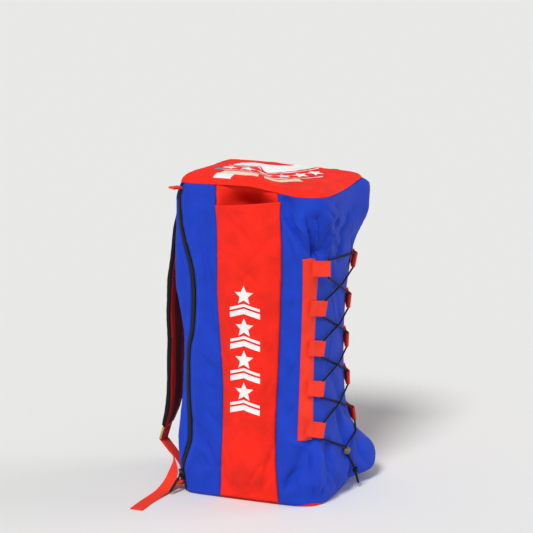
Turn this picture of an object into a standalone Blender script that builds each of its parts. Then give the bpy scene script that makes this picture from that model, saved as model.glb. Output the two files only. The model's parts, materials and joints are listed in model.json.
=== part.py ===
"""A tall bat backpack that stands on its base: a hollow cloth body with one long zip, a bat sleeve on each
side, a laced front and two padded shoulder straps. Metres, +Z up, the laced front faces -Y, the straps +Y."""

import bisect
import functools
import math

import bmesh
import bpy
from mathutils import Vector

# Body
BODY_WIDTH = 0.250
BODY_DEPTH = 0.288
BODY_HEIGHT = 0.625
BODY_WALL = 0.0022
BASE_RIM = 0.008
FOOT_INSET = 0.011
CROWN_RISE = 0.027
SEAM_GAP = 0.0005

# Side panels and the sleeves on them
SLEEVE_WALL = 0.0014
SLEEVE_BULGE = 0.019
SLEEVE_MOUTH = 0.9504 * BODY_HEIGHT
MOUTH_TILT = 0.106
BAT_DENT = 0.042
LAY_GAP = 0.0004

# Zip
ZIP_SLIT = 0.0092
ZIP_PROUD = 0.0008
SLIDER_LENGTH = 0.022
SLIDER_WIDTH = 0.0125
SLIDER_THICKNESS = 0.0042
SLIDER_HEIGHT_ON_ZIP = 0.030
BAIL_OPENING = 0.0032
BAIL_WALL = 0.0014
BAIL_WIDTH = 0.0024
PULL_LENGTH = 0.040
PULL_WIDTH = 0.0072
PULL_THICKNESS = 0.0018
PULL_NECK = (0.006, 0.010)
PULL_DROOP = 45.0
ZIP_TAB_WIDTH = 0.022
ZIP_TAB_LENGTH = 0.020
ZIP_TAB_FOLD = 0.0012
ZIP_TAB_TOP = 0.982
ZIP_TAB_BOTTOM = 0.008
ZIP_TAB_BESIDE = 0.018
ZIP_TAB_TILT = 12.0

# Webbing and lacing
WEBBING = 0.030
WEBBING_WALL = 0.0016
LACE_TOP = 0.494
LACE_BOTTOM = 0.136
LACE_SAG = 0.027
LOOP_COUNT = 5
LOOP_REACH = 0.023
LOOP_TILT = 9.0
LOOP_OVERLAP = 0.018
LOOP_EYE = 0.0052
CORD_DIAMETER = 0.0036
CORD_LAY = 0.0012

# Cord lock and the tails below it
LOCK_DIAMETER = 0.0125
LOCK_LENGTH = 0.0150
LOCK_WALL = 0.0014
LOCK_SHARE = 0.132
LOCK_ACROSS = -0.05
TAIL_DIAMETER = 0.0056
BUTTON_DIAMETER = 0.0092
BUTTON_PROUD = 0.0060
BUTTON_TRAVEL = 0.0035
RUN_GAP = 0.0003
KNOT_DIAMETER = 0.0105
KNOT_LENGTH = 0.0130
KNOT_DROP = (0.028, 0.009, 0.048)

# Shoulder straps
STRAP_WIDTH = 0.075
STRAP_THICKNESS = 0.012
BUCKLE_WIDTH = 0.040
BUCKLE_HEIGHT = 0.028
BUCKLE_BAR = 0.0042
STRAP_WEBBING = 0.027
STRAP_TOP = 0.905
STRAP_LOW = 0.200
STRAP_ROWS = 14
LINK_LENGTH = 0.004
ANCHOR_ACROSS = 0.335
ANCHOR_HEIGHTS = (0.030, 0.062)

# A shoulder strap from its lower end up: its distance off the back as a share of the depth, its middle as a
# share of the body's width, and its width and thickness as shares of the strap's own
STRAP_COLUMNS = ("height", "clear", "across", "width", "thickness")
STRAP_PATH = (
    (0.200, 0.116, 0.285, 0.66, 0.85),
    (0.250, 0.094, 0.262, 0.86, 1.00),
    (0.320, 0.092, 0.245, 1.00, 1.00),
    (0.450, 0.104, 0.235, 1.00, 1.00),
    (0.560, 0.090, 0.232, 1.00, 1.00),
    (0.650, 0.053, 0.232, 1.00, 1.00),
    (0.740, 0.020, 0.232, 1.00, 1.00),
    (0.800, 0.005, 0.232, 1.00, 1.00),
    (0.850, 0.001, 0.232, 0.98, 0.90),
    (0.905, 0.000, 0.232, 0.86, 0.45),
)

# Sections from the base to the top seam: the reach of the back and of the front corners, the front's bow
# between them, the width, and how square the corners are. Lengths are shares of half the depth or width.
SECTION_COLUMNS = ("height", "back", "front", "bow", "width", "front_square", "back_square")
SECTIONS = (
    (0.00, 1.095, 0.950, 0.03, 0.985, 5.0, 11.0),
    (0.06, 1.125, 0.995, 0.06, 1.005, 5.2, 12.0),
    (0.12, 1.150, 0.965, 0.08, 1.010, 5.2, 12.0),
    (0.20, 1.150, 0.885, 0.10, 1.000, 5.8, 12.0),
    (0.30, 1.108, 0.800, 0.12, 0.990, 6.6, 12.0),
    (0.40, 1.078, 0.760, 0.13, 0.985, 7.0, 12.0),
    (0.50, 1.070, 0.750, 0.13, 0.980, 7.0, 12.0),
    (0.60, 1.125, 0.765, 0.13, 0.980, 7.0, 12.0),
    (0.68, 1.178, 0.800, 0.11, 0.985, 7.0, 12.0),
    (0.74, 1.182, 0.860, 0.08, 0.990, 7.0, 12.0),
    (0.80, 1.178, 0.930, 0.05, 1.000, 7.0, 12.0),
    (0.88, 1.158, 0.990, 0.03, 1.010, 8.0, 12.0),
    (0.95, 1.140, 1.010, 0.02, 1.005, 9.0, 12.0),
    (1.00, 1.090, 1.000, 0.02, 1.000, 9.0, 11.0),
)

# The zip's distance back from the middle of the side, as a share of the depth
ZIP_COLUMNS = ("height", "setback")
ZIP_PATH = (
    (0.00, 0.520),
    (0.07, 0.530),
    (0.13, 0.490),
    (0.18, 0.462),
    (0.34, 0.477),
    (0.46, 0.475),
    (0.54, 0.442),
    (0.65, 0.429),
    (0.73, 0.440),
    (0.80, 0.480),
    (0.86, 0.512),
    (0.93, 0.530),
    (1.00, 0.524),
)

# The seams beside the middle of a side: how far back and forward the side panel reaches and how far forward
# the lace strip starts, as shares of the depth
SEAM_COLUMNS = ("height", "panel_back", "panel_front", "lace")
SEAMS = (
    (0.00, 0.243, 0.181, 0.322),
    (0.05, 0.235, 0.175, 0.320),
    (0.15, 0.226, 0.163, 0.317),
    (0.25, 0.219, 0.163, 0.317),
    (0.35, 0.217, 0.169, 0.322),
    (0.45, 0.226, 0.179, 0.327),
    (0.55, 0.242, 0.187, 0.333),
    (0.65, 0.256, 0.193, 0.340),
    (0.75, 0.252, 0.202, 0.346),
    (0.85, 0.251, 0.203, 0.349),
    (0.93, 0.256, 0.188, 0.350),
    (1.00, 0.262, 0.173, 0.350),
)

# How far the top seam sinks below the full height, at shares of the way round from the back centre by the
# left side, in shares of the height
RIM_COLUMNS = ("around", "sink")
RIM = (
    (0.00, 0.000),
    (0.13, 0.000),
    (0.25, 0.000),
    (0.29, 0.010),
    (0.34, 0.024),
    (0.385, 0.024),
    (0.50, 0.020),
    (0.61, 0.006),
    (0.75, 0.000),
    (1.00, 0.000),
)

# Folds, dents and bulges, each along a line between two places. A place is how far forward it is from the
# middle of its side, as a share of the depth, and its height share. Spread and push are shares of the depth.
FOLD_COLUMNS = ("side", "from_along", "from_height", "to_along", "to_height", "spread", "push")
FOLDS = (
    ("left", 0.22, 0.985, 0.45, 0.820, 0.050, -0.030),
    ("left", 0.44, 0.930, 0.47, 0.830, 0.050, -0.056),
    ("left", 0.36, 0.930, 0.36, 0.880, 0.075, 0.030),
    ("left", 0.57, 0.940, 0.60, 0.880, 0.085, 0.034),
    ("left", 0.56, 0.970, 1.02, 0.920, 0.050, -0.018),
    ("left", 0.60, 0.900, 1.10, 0.830, 0.050, -0.026),
    ("left", 0.95, 0.900, 0.75, 0.790, 0.040, -0.030),
    ("right", 0.50, 0.985, 0.50, 0.920, 0.130, 0.066),
    ("right", 0.55, 0.830, 0.52, 0.760, 0.060, -0.026),
    ("left", 0.62, 0.760, 0.92, 0.540, 0.045, -0.016),
    ("left", 0.62, 0.430, 0.95, 0.250, 0.045, -0.016),
    ("left", 0.40, 0.220, 0.26, 0.060, 0.040, -0.024),
    ("left", 0.56, 0.190, 0.56, 0.060, 0.035, -0.022),
    ("left", 0.47, 0.150, 0.42, 0.070, 0.050, 0.020),
    ("left", 0.95, 0.180, 0.80, 0.040, 0.070, 0.028),
    ("right", 0.50, 0.095, 0.52, 0.050, 0.190, 0.150),
    ("right", 0.80, 0.270, 0.84, 0.060, 0.045, -0.034),
    ("left", -0.36, 0.900, -0.30, 0.560, 0.045, -0.014),
    ("left", -0.32, 0.420, -0.38, 0.100, 0.050, -0.014),
    ("right", -0.34, 0.880, -0.30, 0.540, 0.045, -0.014),
)

# Rows of the cloth from the base up, closer together where the folds are. Each stop is a height share.
FRONT_RIM = BODY_HEIGHT * (1 - max(sink for _, sink in RIM))
LACE_LOW = (LACE_BOTTOM - BASE_RIM) / (FRONT_RIM - BASE_RIM)
LACE_HIGH = (LACE_TOP - BASE_RIM) / (FRONT_RIM - BASE_RIM)
MOUTH_SHARE = (SLEEVE_MOUTH - BASE_RIM) / (BODY_HEIGHT - BASE_RIM)
ROW_STOPS = ((0.0, 5), (LACE_LOW, 9), (LACE_HIGH, 4), (MOUTH_SHARE, 2), (1.0, 0))

# The free end of each strap's webbing from the buckle down to the floor and out along it: shares of half the
# width and depth and of the height, and how far it has turned from facing back to facing up
TAIL_COLUMNS = ("across", "out", "height", "twist")
TAIL = (
    (0.622, 1.345, 0.1080, 0.12),
    (0.690, 1.292, 0.0800, 0.38),
    (0.790, 1.270, 0.0520, 0.65),
    (0.920, 1.268, 0.0290, 0.88),
    (1.120, 1.300, 0.0100, 1.00),
    (1.350, 1.338, 0.0036, 1.00),
    (1.600, 1.362, 0.0022, 1.00),
    (1.944, 1.368, 0.0022, 1.00),
)

OUTLINE_STEPS = 180
FOLD_FADE = 0.018
SIDE_DIVISIONS = 8
BACK_CORNER_RUN = 0.112

COLOURS = {
    "blue_cloth": ((0.012, 0.055, 0.520), 0.82, 0.0),
    "red_cloth": ((0.860, 0.018, 0.008), 0.75, 0.0),
    "red_webbing": ((0.900, 0.030, 0.012), 0.65, 0.0),
    "black_padding": ((0.014, 0.013, 0.015), 0.80, 0.0),
    "black_cord": ((0.010, 0.010, 0.012), 0.60, 0.0),
    "black_metal": ((0.025, 0.025, 0.028), 0.35, 0.8),
    "black_zip": ((0.012, 0.012, 0.014), 0.50, 0.0),
    "brass": ((0.560, 0.380, 0.120), 0.35, 0.9),
    "olive_plastic": ((0.110, 0.085, 0.030), 0.45, 0.0),
}


def clear_scene():
    for item in list(bpy.data.objects):
        bpy.data.objects.remove(item)


@functools.lru_cache(maxsize=None)
def material(name):
    """A plain material of a named colour, roughness and metallic value."""
    colour, roughness, metallic = COLOURS[name]
    made = bpy.data.materials.new(name)
    made.use_nodes = True
    shader = made.node_tree.nodes["Principled BSDF"]
    shader.inputs["Base Color"].default_value = (*colour, 1.0)
    shader.inputs["Roughness"].default_value = roughness
    shader.inputs["Metallic"].default_value = metallic
    return made


def add_object(name, vertices, faces, look, smooth_angle=40.0, origin=Vector((0, 0, 0))):
    """A closed solid from points in the bag's frame, facing out, with its own origin."""
    mesh = bpy.data.meshes.new(name)
    mesh.from_pydata([tuple(v - origin) for v in vertices], [], faces)
    work = bmesh.new()
    work.from_mesh(mesh)
    bmesh.ops.recalc_face_normals(work, faces=work.faces[:])
    work.to_mesh(mesh)
    work.free()
    item = bpy.data.objects.new(name, mesh)
    mesh.materials.append(material(look))
    mesh.shade_smooth()
    mesh.set_sharp_from_angle(angle=math.radians(smooth_angle))
    item.location = origin
    bpy.context.scene.collection.objects.link(item)
    return item


def smooth_rows(rows, at):
    """A table's values at a place in its first column, on a smooth curve through the rows."""
    keys = [row[0] for row in rows]
    i = min(max(bisect.bisect_right(keys, at) - 1, 0), len(rows) - 2)
    low, high = rows[i], rows[i + 1]
    before, after = rows[max(i - 1, 0)], rows[min(i + 2, len(rows) - 1)]
    span = high[0] - low[0]
    t = min(max((at - low[0]) / span, 0.0), 1.0)
    values = []
    for column in range(1, len(low)):
        slope_low = (high[column] - before[column]) / (high[0] - before[0])
        slope_high = (after[column] - low[column]) / (after[0] - low[0])
        values.append(
            (2 * t**3 - 3 * t**2 + 1) * low[column]
            + (t**3 - 2 * t**2 + t) * span * slope_low
            + (3 * t**2 - 2 * t**3) * high[column]
            + (t**3 - t**2) * span * slope_high
        )
    return values


def ease(value):
    """0 up to 1, level at both ends."""
    value = min(max(value, 0.0), 1.0)
    return value * value * (3 - 2 * value)


@functools.lru_cache(maxsize=None)
def outline(height):
    """The body's plain outline at a height share, from the back centre by the left side, and its lengths."""
    back, front, bow, width, front_square, back_square = smooth_rows(SECTIONS, height)
    half_width = width * BODY_WIDTH / 2
    points = []
    for i in range(OUTLINE_STEPS + 1):
        turn = 2 * math.pi * i / OUTLINE_STEPS
        across, along = -math.sin(turn), math.cos(turn)
        reach = (back if along > 0 else front) * BODY_DEPTH / 2
        square = back_square if along > 0 else front_square
        radius = (abs(across / half_width) ** square + abs(along / reach) ** square) ** (-1 / square)
        x, y = radius * across, radius * along
        if along < 0:
            y -= bow * BODY_DEPTH / 2 * math.cos(math.pi / 2 * x / half_width)
        points.append((x, y))
    lengths = [0.0]
    for (x0, y0), (x1, y1) in zip(points, points[1:]):
        lengths.append(lengths[-1] + math.hypot(x1 - x0, y1 - y0))
    return points, lengths


def perimeter(height):
    return outline(height)[1][-1]


def side_middle(height, side):
    """Distance round to the middle of a side, where the outline crosses the plane between front and back."""
    quarter = outline(height)[1][OUTLINE_STEPS // 4]
    return quarter if side == "left" else perimeter(height) - quarter


def side_place(height, side, forward):
    """Distance round to a place that lies a length forward of the middle of a side."""
    turn = 1 if side == "left" else -1
    return side_middle(height, side) + turn * forward


def outline_point(around, height):
    points, lengths = outline(height)
    around = around % lengths[-1]
    i = min(max(bisect.bisect_right(lengths, around) - 1, 0), len(points) - 2)
    t = (around - lengths[i]) / (lengths[i + 1] - lengths[i])
    (x0, y0), (x1, y1) = points[i], points[i + 1]
    return x0 + (x1 - x0) * t, y0 + (y1 - y0) * t


def fold_push(around, height):
    """How far the folds, dents and bulges push the cloth out at a place."""
    total = 0.0
    length = perimeter(height)
    fade = 1.0
    for side in ("left", "right"):
        edges = sorted((side_edge(height, side, False), side_edge(height, side, True)))
        place = around % length
        beyond = min(abs(place - edge) for edge in edges)
        fade *= 0.0 if edges[0] <= place <= edges[1] else ease(beyond / FOLD_FADE)
    for side, from_along, from_height, to_along, to_height, spread, push in FOLDS:
        turn = 1 if side == "left" else -1
        along = turn * (around - side_middle(height, side))
        along = (along + length / 2) % length - length / 2
        ax, az = from_along * BODY_DEPTH, from_height * BODY_HEIGHT
        dx, dz = to_along * BODY_DEPTH - ax, to_height * BODY_HEIGHT - az
        px, pz = along - ax, height * BODY_HEIGHT - az
        share = min(max((px * dx + pz * dz) / (dx * dx + dz * dz), 0.0), 1.0)
        away = math.hypot(px - share * dx, pz - share * dz) / (spread * BODY_DEPTH)
        if away < 3:
            total += push * BODY_DEPTH * math.exp(-away * away)
    return total * fade * ease(height / 0.03) * ease(0.3 + (1 - height) * 35)


def seam_height(around, height):
    """Height of a place: rows follow the sunken top seam, and the laced front sags on its right."""
    length = perimeter(height)
    top = BODY_HEIGHT * (1 - smooth_rows(RIM, around % length / length)[0])
    level = BASE_RIM + height * (top - BASE_RIM)
    lace = lace_edge(height, "right", False)
    near_lace = math.exp(-(((around - lace + length / 2) % length - length / 2) / (0.32 * BODY_DEPTH)) ** 2)
    return level - LACE_SAG * near_lace * ease(height / 0.22) * ease((1 - height) / 0.2)


def cloth(around, height):
    """A point of the body's outer surface."""
    x, y = outline_point(around, height)
    x0, y0 = outline_point(around - 0.006, height)
    x1, y1 = outline_point(around + 0.006, height)
    run = math.hypot(x1 - x0, y1 - y0)
    push = fold_push(around, height)
    return Vector((x - (y1 - y0) / run * -push, y - (x1 - x0) / run * push, seam_height(around, height)))


def cloth_axes(around, height):
    """Unit directions at a place of the surface: round the body, up it, and out of it."""
    low, high = max(height - 0.006, 0.0), min(height + 0.006, 1.0)
    drift = (side_middle(high, "left") - side_middle(low, "left")) / 2
    round_axis = (cloth(around + 0.004, height) - cloth(around - 0.004, height)).normalized()
    up_axis = (cloth(around + drift, high) - cloth(around - drift, low)).normalized()
    out_axis = round_axis.cross(up_axis)
    if height in (0.0, 1.0):
        out_axis.z = 0
    out_axis.normalize()
    return round_axis, up_axis, out_axis


def skin(around, height, lift=0.0):
    """A point a length outside the body's surface."""
    return cloth(around, height) + cloth_axes(around, height)[2] * lift


def row_heights(last=1.0):
    heights = []
    for (low, count), (high, _) in zip(ROW_STOPS, ROW_STOPS[1:]):
        heights += [low + (high - low) * i / count for i in range(count)]
    heights.append(1.0)
    return [h for h in heights if h <= last + 1e-6]


def zip_place(height):
    return side_place(height, "left", -smooth_rows(ZIP_PATH, height)[0] * BODY_DEPTH)


def side_edge(height, side, front):
    """Distance round to the front or back edge of a side panel."""
    back_share, front_share, _ = smooth_rows(SEAMS, height)
    return side_place(height, side, (front_share if front else -back_share) * BODY_DEPTH)


def lace_edge(height, side, inner):
    forward = smooth_rows(SEAMS, height)[2] * BODY_DEPTH + (WEBBING if inner else 0.0)
    return side_place(height, side, forward)


def between(low, high, count, gap=SEAM_GAP):
    """Places from one seam to the next, with half a gap at each end."""
    low, high = low + gap / 2, high - gap / 2
    return [low + (high - low) * i / count for i in range(count + 1)]


def front_columns(height):
    middle = perimeter(height) / 2
    stops = (
        (side_edge(height, "left", True) + SEAM_GAP / 2, 2),
        (lace_edge(height, "left", False), 2),
        (lace_edge(height, "left", True), 5),
        (middle, 5),
        (lace_edge(height, "right", True), 2),
        (lace_edge(height, "right", False), 2),
        (side_edge(height, "right", True) - SEAM_GAP / 2, 0),
    )
    return spread_stops(stops)


def spread_stops(stops):
    places = []
    for (low, count), (high, _) in zip(stops, stops[1:]):
        places += [low + (high - low) * i / count for i in range(count)]
    places.append(stops[-1][0])
    return places


def zip_panel_columns(height):
    return between(zip_place(height) + ZIP_SLIT / 2, side_edge(height, "left", False), 3)


def back_corner(height, side):
    """Distance round to the point of a back corner."""
    eighth = max(range(OUTLINE_STEPS // 4), key=lambda i: sum(abs(c) for c in outline(height)[0][i]))
    place = outline(height)[1][eighth]
    return place if side == "left" else perimeter(height) - place


def back_columns(height):
    """From the right side panel round the back to the zip, as distances past a full turn."""
    full = perimeter(height)
    corner_run = BACK_CORNER_RUN * BODY_WIDTH
    stops = (
        (side_edge(height, "right", False) + SEAM_GAP / 2, 2),
        (back_corner(height, "right") - corner_run, 2),
        (back_corner(height, "right") + corner_run, 4),
        (full, 4),
        (full + back_corner(height, "left") - corner_run, 2),
        (full + zip_place(height) - ZIP_SLIT / 2, 0),
    )
    return spread_stops(stops)


def side_columns(height, side):
    edges = sorted((side_edge(height, side, False), side_edge(height, side, True)))
    return between(edges[0], edges[1], SIDE_DIVISIONS)


def add_sheet(name, outer, inner, look, smooth_angle=40.0):
    """A closed solid between two matching grids of points, rows upward and columns by the left side."""
    rows, columns = len(outer), len(outer[0])
    vertices = [point for grid in (outer, inner) for row in grid for point in row]
    skip = rows * columns
    faces = []
    for r in range(rows - 1):
        for c in range(columns - 1):
            a, b = r * columns + c, r * columns + c + 1
            d, e = a + columns, b + columns
            faces += [(a, b, d), (b, e, d)]
            faces += [(skip + a, skip + d, skip + b), (skip + b, skip + d, skip + e)]
    for r in range(rows - 1):
        for c, turn in ((0, -1), (columns - 1, 1)):
            a, b = r * columns + c, (r + 1) * columns + c
            faces += [(a, skip + a, skip + b)[::turn], (a, skip + b, b)[::turn]]
    for c in range(columns - 1):
        for r, turn in ((0, 1), (rows - 1, -1)):
            a, b = r * columns + c, r * columns + c + 1
            faces += [(a, skip + a, skip + b)[::turn], (a, skip + b, b)[::turn]]
    return add_object(name, vertices, faces, look, smooth_angle)


def add_panel(name, columns, look):
    heights = row_heights()
    outer = [[skin(a, h) for a in columns(h)] for h in heights]
    inner = [[skin(a, h, -BODY_WALL) for a in columns(h)] for h in heights]
    return add_sheet(name, outer, inner, look)


def bat_room(around, height, side):
    """How far open the room for a bat is at a place of a side panel, from 0 to 1."""
    back, front = side_edge(height, side, False), side_edge(height, side, True)
    share = (2 * around - back - front) / (front - back)
    return max(0.0, 1 - share * share)


def dent(around, height, side):
    room = bat_room(around, height, side) ** 2
    return BAT_DENT * room * ease((height - 0.01) / 0.07) * (0.26 + 0.74 * ease((1 - height) / 0.06))


def bulge(around, height, side):
    room = bat_room(around, height, side) ** 1.2
    return SLEEVE_BULGE * room * ease((height - 0.005) / 0.10) * (0.66 + 0.34 * ease((1 - height) / 0.25))


def add_side(side):
    heights = row_heights()
    outer = [[skin(a, h, -dent(a, h, side)) for a in side_columns(h, side)] for h in heights]
    inner = [[skin(a, h, -dent(a, h, side) - BODY_WALL) for a in side_columns(h, side)] for h in heights]
    add_sheet("side_panel_" + side, outer, inner, "red_cloth")
    outer, inner = [], []
    for height in row_heights(MOUTH_SHARE):
        places = [(a, height) for a in side_columns(height, side)]
        if height == MOUTH_SHARE:
            places = [(a, level_share(a, mouth_level(a, side))) for a in side_columns(height, side)]
        inner.append([skin(a, h, bulge(a, h, side) + LAY_GAP) for a, h in places])
        outer.append([skin(a, h, bulge(a, h, side) + LAY_GAP + SLEEVE_WALL) for a, h in places])
    add_sheet("bat_sleeve_" + side, outer, inner, "red_cloth")


def mouth_level(around, side):
    """How high a sleeve's mouth is: it slopes up to the front."""
    turn = 1 if side == "left" else -1
    return SLEEVE_MOUTH + MOUTH_TILT * turn * (around - side_middle(MOUTH_SHARE, side))


def level_share(around, level):
    """The height share at which the cloth reaches a level."""
    share = level / BODY_HEIGHT
    for _ in range(4):
        share += (level - seam_height(around, share)) / BODY_HEIGHT
    return share


def rim_places(height):
    """Places of all the panels' columns round the body, starting at the right side panel's back seam."""
    full = perimeter(height)
    places = [a - full for a in back_columns(height)[:-1]]
    places += [zip_place(height)]
    places += zip_panel_columns(height)[1:-1]
    places += side_columns(height, "left")[:-1]
    places += front_columns(height)[:-1]
    places += side_columns(height, "right")[:-1]
    return places


def add_lid(name, outer_rings, inner_rings, outer_centre, inner_centre, look):
    """A closed solid between two dished skins, each of rings that close in on a centre point."""
    count, rings = len(outer_rings[0]), len(outer_rings)
    vertices = [point for grid in (outer_rings, inner_rings) for ring in grid for point in ring]
    skip = rings * count
    centres = (len(vertices), len(vertices) + 1)
    vertices += [outer_centre, inner_centre]
    faces = []
    for c in range(count):
        n = (c + 1) % count
        for r in range(rings - 1):
            a, b, d, e = r * count + c, r * count + n, (r + 1) * count + c, (r + 1) * count + n
            faces += [(a, d, b), (b, d, e)]
            faces += [(skip + a, skip + b, skip + d), (skip + b, skip + e, skip + d)]
        last = (rings - 1) * count
        faces += [(last + c, centres[0], last + n), (skip + last + c, skip + last + n, centres[1])]
        faces.append((c, n, skip + n, skip + c))
    return add_object(name, vertices, faces, look)


def add_top_panel():
    """The padded top: it rises from the seam, rounds over and crowns towards the back."""
    crown_columns = ((0.0, 0.0), (0.025, 0.34), (0.09, 0.62), (0.26, 0.82), (0.58, 0.97))
    places = rim_places(1.0)[::-1]
    middle = Vector((0.0, 0.10 * BODY_DEPTH, BODY_HEIGHT * 0.99))
    outer, inner = [], []
    for inset, rise in crown_columns:
        ring, lining = [], []
        for place in places:
            rim = skin(place, 1.0)
            seat = rim + Vector((0, 0, SEAM_GAP))
            lean = ease(0.5 - rim.y / BODY_DEPTH)
            lift = CROWN_RISE * rise * (1 - 0.45 * lean)
            point = seat.lerp(middle, inset) + Vector((0, 0, lift))
            towards = (middle - seat)
            towards.z = 0
            towards.normalize()
            slope = min(max(inset / 0.12, 0.0), 1.0)
            shift = towards * (1 - slope) - Vector((0, 0, slope))
            ring.append(point)
            lining.append(point + shift.normalized() * BODY_WALL)
            if inset == 0.0:
                lining[-1] = skin(place, 1.0, -BODY_WALL) + Vector((0, 0, SEAM_GAP))
        outer.append(ring)
        inner.append(lining)
    peak = middle + Vector((0, 0, CROWN_RISE))
    add_lid("top_panel", outer, inner, peak, peak - Vector((0, 0, BODY_WALL)), "red_cloth")


def add_bottom_panel():
    """The bottom: flat where it stands, turned up to the seam all round."""
    foot_columns = ((0.0, 1.0), (0.30, 0.28), (1.0, 0.0))
    places = rim_places(0.0)
    outer, inner = [], []
    for inset, rise in foot_columns:
        ring, lining = [], []
        for place in places:
            rim = skin(place, 0.0)
            towards = Vector((-rim.x, -rim.y, 0)).normalized()
            height = (BASE_RIM - SEAM_GAP) * rise
            ring.append(Vector((rim.x, rim.y, 0)) + towards * FOOT_INSET * inset + Vector((0, 0, height)))
            up = BODY_WALL * (1 - rise)
            lining.append(ring[-1] + towards * BODY_WALL * (0.3 + 0.7 * rise) + Vector((0, 0, up)))
        outer.append(ring)
        inner.append(lining)
    centre = Vector((0, 0, 0))
    add_lid("bottom_panel", outer, inner, centre, centre + Vector((0, 0, BODY_WALL)), "red_cloth")


def add_zip():
    """The closed zip, a strip that fills the slit between its two panels."""
    heights = row_heights()

    def columns(height):
        place = zip_place(height)
        return between(place - ZIP_SLIT / 2, place + ZIP_SLIT / 2, 2, 2 * SEAM_GAP)

    outer = [[skin(a, h, ZIP_PROUD) for a in columns(h)] for h in heights]
    inner = [[skin(a, h, -BODY_WALL) for a in columns(h)] for h in heights]
    add_sheet("zip_strip", outer, inner, "black_zip")


class Frame:
    """A place with three unit axes, for pieces that are drawn flat and set on the cloth."""

    def __init__(self, origin, along, up, out):
        self.origin, self.along, self.up, self.out = origin, along, up, out

    def point(self, along, up, out):
        return self.origin + self.along * along + self.up * up + self.out * out


def cloth_frame(around, height, lift):
    return Frame(skin(around, height, lift), *cloth_axes(around, height))


def squared(frame):
    """The same frame with its up direction at right angles to the other two."""
    return Frame(frame.origin, frame.along, frame.out.cross(frame.along).normalized(), frame.out)


def add_prism(name, place, outline_points, low, high, look, holes=(), origin=Vector((0, 0, 0))):
    """An outline drawn in a frame's along and out directions and extruded up it, with matched holes."""
    rings = [outline_points, *holes]
    vertices, faces = [], []
    for ring in rings:
        vertices += [place(a, low, o) for a, o in ring] + [place(a, high, o) for a, o in ring]
    count = len(outline_points)
    turn = 1 if signed_area(outline_points) > 0 else -1
    for k, ring in enumerate(rings):
        skip = 2 * count * k
        side = turn if k == 0 else -turn
        for i in range(count):
            n = (i + 1) % count
            quad = (skip + i, skip + n, skip + count + n, skip + count + i)
            faces.append(quad[::side])
    if holes:
        skip = 2 * count
        for i in range(count):
            n = (i + 1) % count
            faces.append((i, skip + i, skip + n, n)[::turn])
            faces.append((count + i, count + n, skip + count + n, skip + count + i)[::turn])
    else:
        faces.append(tuple(range(count))[::-turn])
        faces.append(tuple(range(count, 2 * count))[::turn])
    return add_object(name, vertices, faces, look, 30.0, origin)


def signed_area(ring):
    return sum(a0 * o1 - a1 * o0 for (a0, o0), (a1, o1) in zip(ring, ring[1:] + ring[:1]))


def add_lace_strip(side):
    rows = [h for h in row_heights() if LACE_LOW - 1e-6 <= h <= LACE_HIGH + 1e-6]

    def columns(height):
        edges = sorted(lace_edge(height, side, inner) for inner in (False, True))
        return between(edges[0], edges[1], 2, 0)

    outer = [[skin(a, h, LAY_GAP + WEBBING_WALL) for a in columns(h)] for h in rows]
    inner = [[skin(a, h, LAY_GAP) for a in columns(h)] for h in rows]
    add_sheet("lace_strip_" + side, outer, inner, "red_webbing")


def loop_height(index):
    """Height share of a lace loop's middle, the first at the top of its strip."""
    inset = 0.7 * WEBBING / (LACE_TOP - LACE_BOTTOM) * (LACE_HIGH - LACE_LOW)
    return LACE_HIGH - inset - (LACE_HIGH - LACE_LOW - 2 * inset) * index / (LOOP_COUNT - 1)


def loop_frame(index, side):
    """A loop's frame: along from the strip's inner edge towards the front's middle, out of the cloth."""
    height = loop_height(index)
    turn = 1 if side == "left" else -1
    edge = lace_edge(height, side, True)
    span = WEBBING / BODY_HEIGHT
    above = skin(lace_edge(height + span, side, True), height + span)
    up = (above - skin(lace_edge(height - span, side, True), height - span)).normalized()
    near = skin(edge - turn * LOOP_OVERLAP, height)
    far = skin(edge + turn * LOOP_REACH, height)
    along = far - near
    along = (along - up * along.dot(up)).normalized()
    out = along.cross(up).normalized() * turn
    tilt = math.radians(LOOP_TILT)
    along, up = along * math.cos(tilt) - up * math.sin(tilt), up * math.cos(tilt) + along * math.sin(tilt)
    top = max(
        (skin(edge + turn * share * LOOP_REACH, height + rise) - near).dot(out)
        + (WEBBING_WALL + LAY_GAP if share <= 0 else 0.0)
        for share in (-0.55, -0.25, 0.0, 0.2, 0.4, 0.6, 0.8, 1.0)
        for rise in (-0.024, -0.012, 0.0, 0.012, 0.024)
    )
    origin = skin(edge, height)
    origin += out * (top + 1.5 * LAY_GAP - (origin - near).dot(out))
    return Frame(origin, along, up, out)


def loop_eye():
    """Where the cord runs through a loop: how far along it and how far out."""
    radius = LOOP_EYE / 2 + WEBBING_WALL
    return LOOP_REACH - radius, radius


def add_lace_loop(index, side):
    """A strip of webbing folded back on itself, its ends sewn to the lace strip and the cord in its fold."""
    frame = loop_frame(index, side)
    eye, radius = loop_eye()
    wall, inside = WEBBING_WALL, LOOP_EYE / 2
    flat = -LOOP_OVERLAP
    seam = 2 * wall + 0.0006
    turns = [math.radians(a) for a in (-60, 0, 60)]
    outer = [(flat, 0.0), (eye, 0.0)]
    outer += [(eye + radius * math.cos(a), radius + radius * math.sin(a)) for a in turns]
    outer += [(eye, 2 * radius), (0.0, seam), (flat, seam)]
    hole = [(0.004, wall), (eye, wall)]
    hole += [(eye + inside * math.cos(a), radius + inside * math.sin(a)) for a in turns]
    hole += [(eye, 2 * radius - wall), (0.006, wall + 0.0010), (0.004, wall + 0.0006)]
    name = "lace_loop_%s_%d" % (side, index + 1)
    add_prism(name, frame.point, outer, -WEBBING / 2, WEBBING / 2, "red_webbing", [hole])


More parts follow.
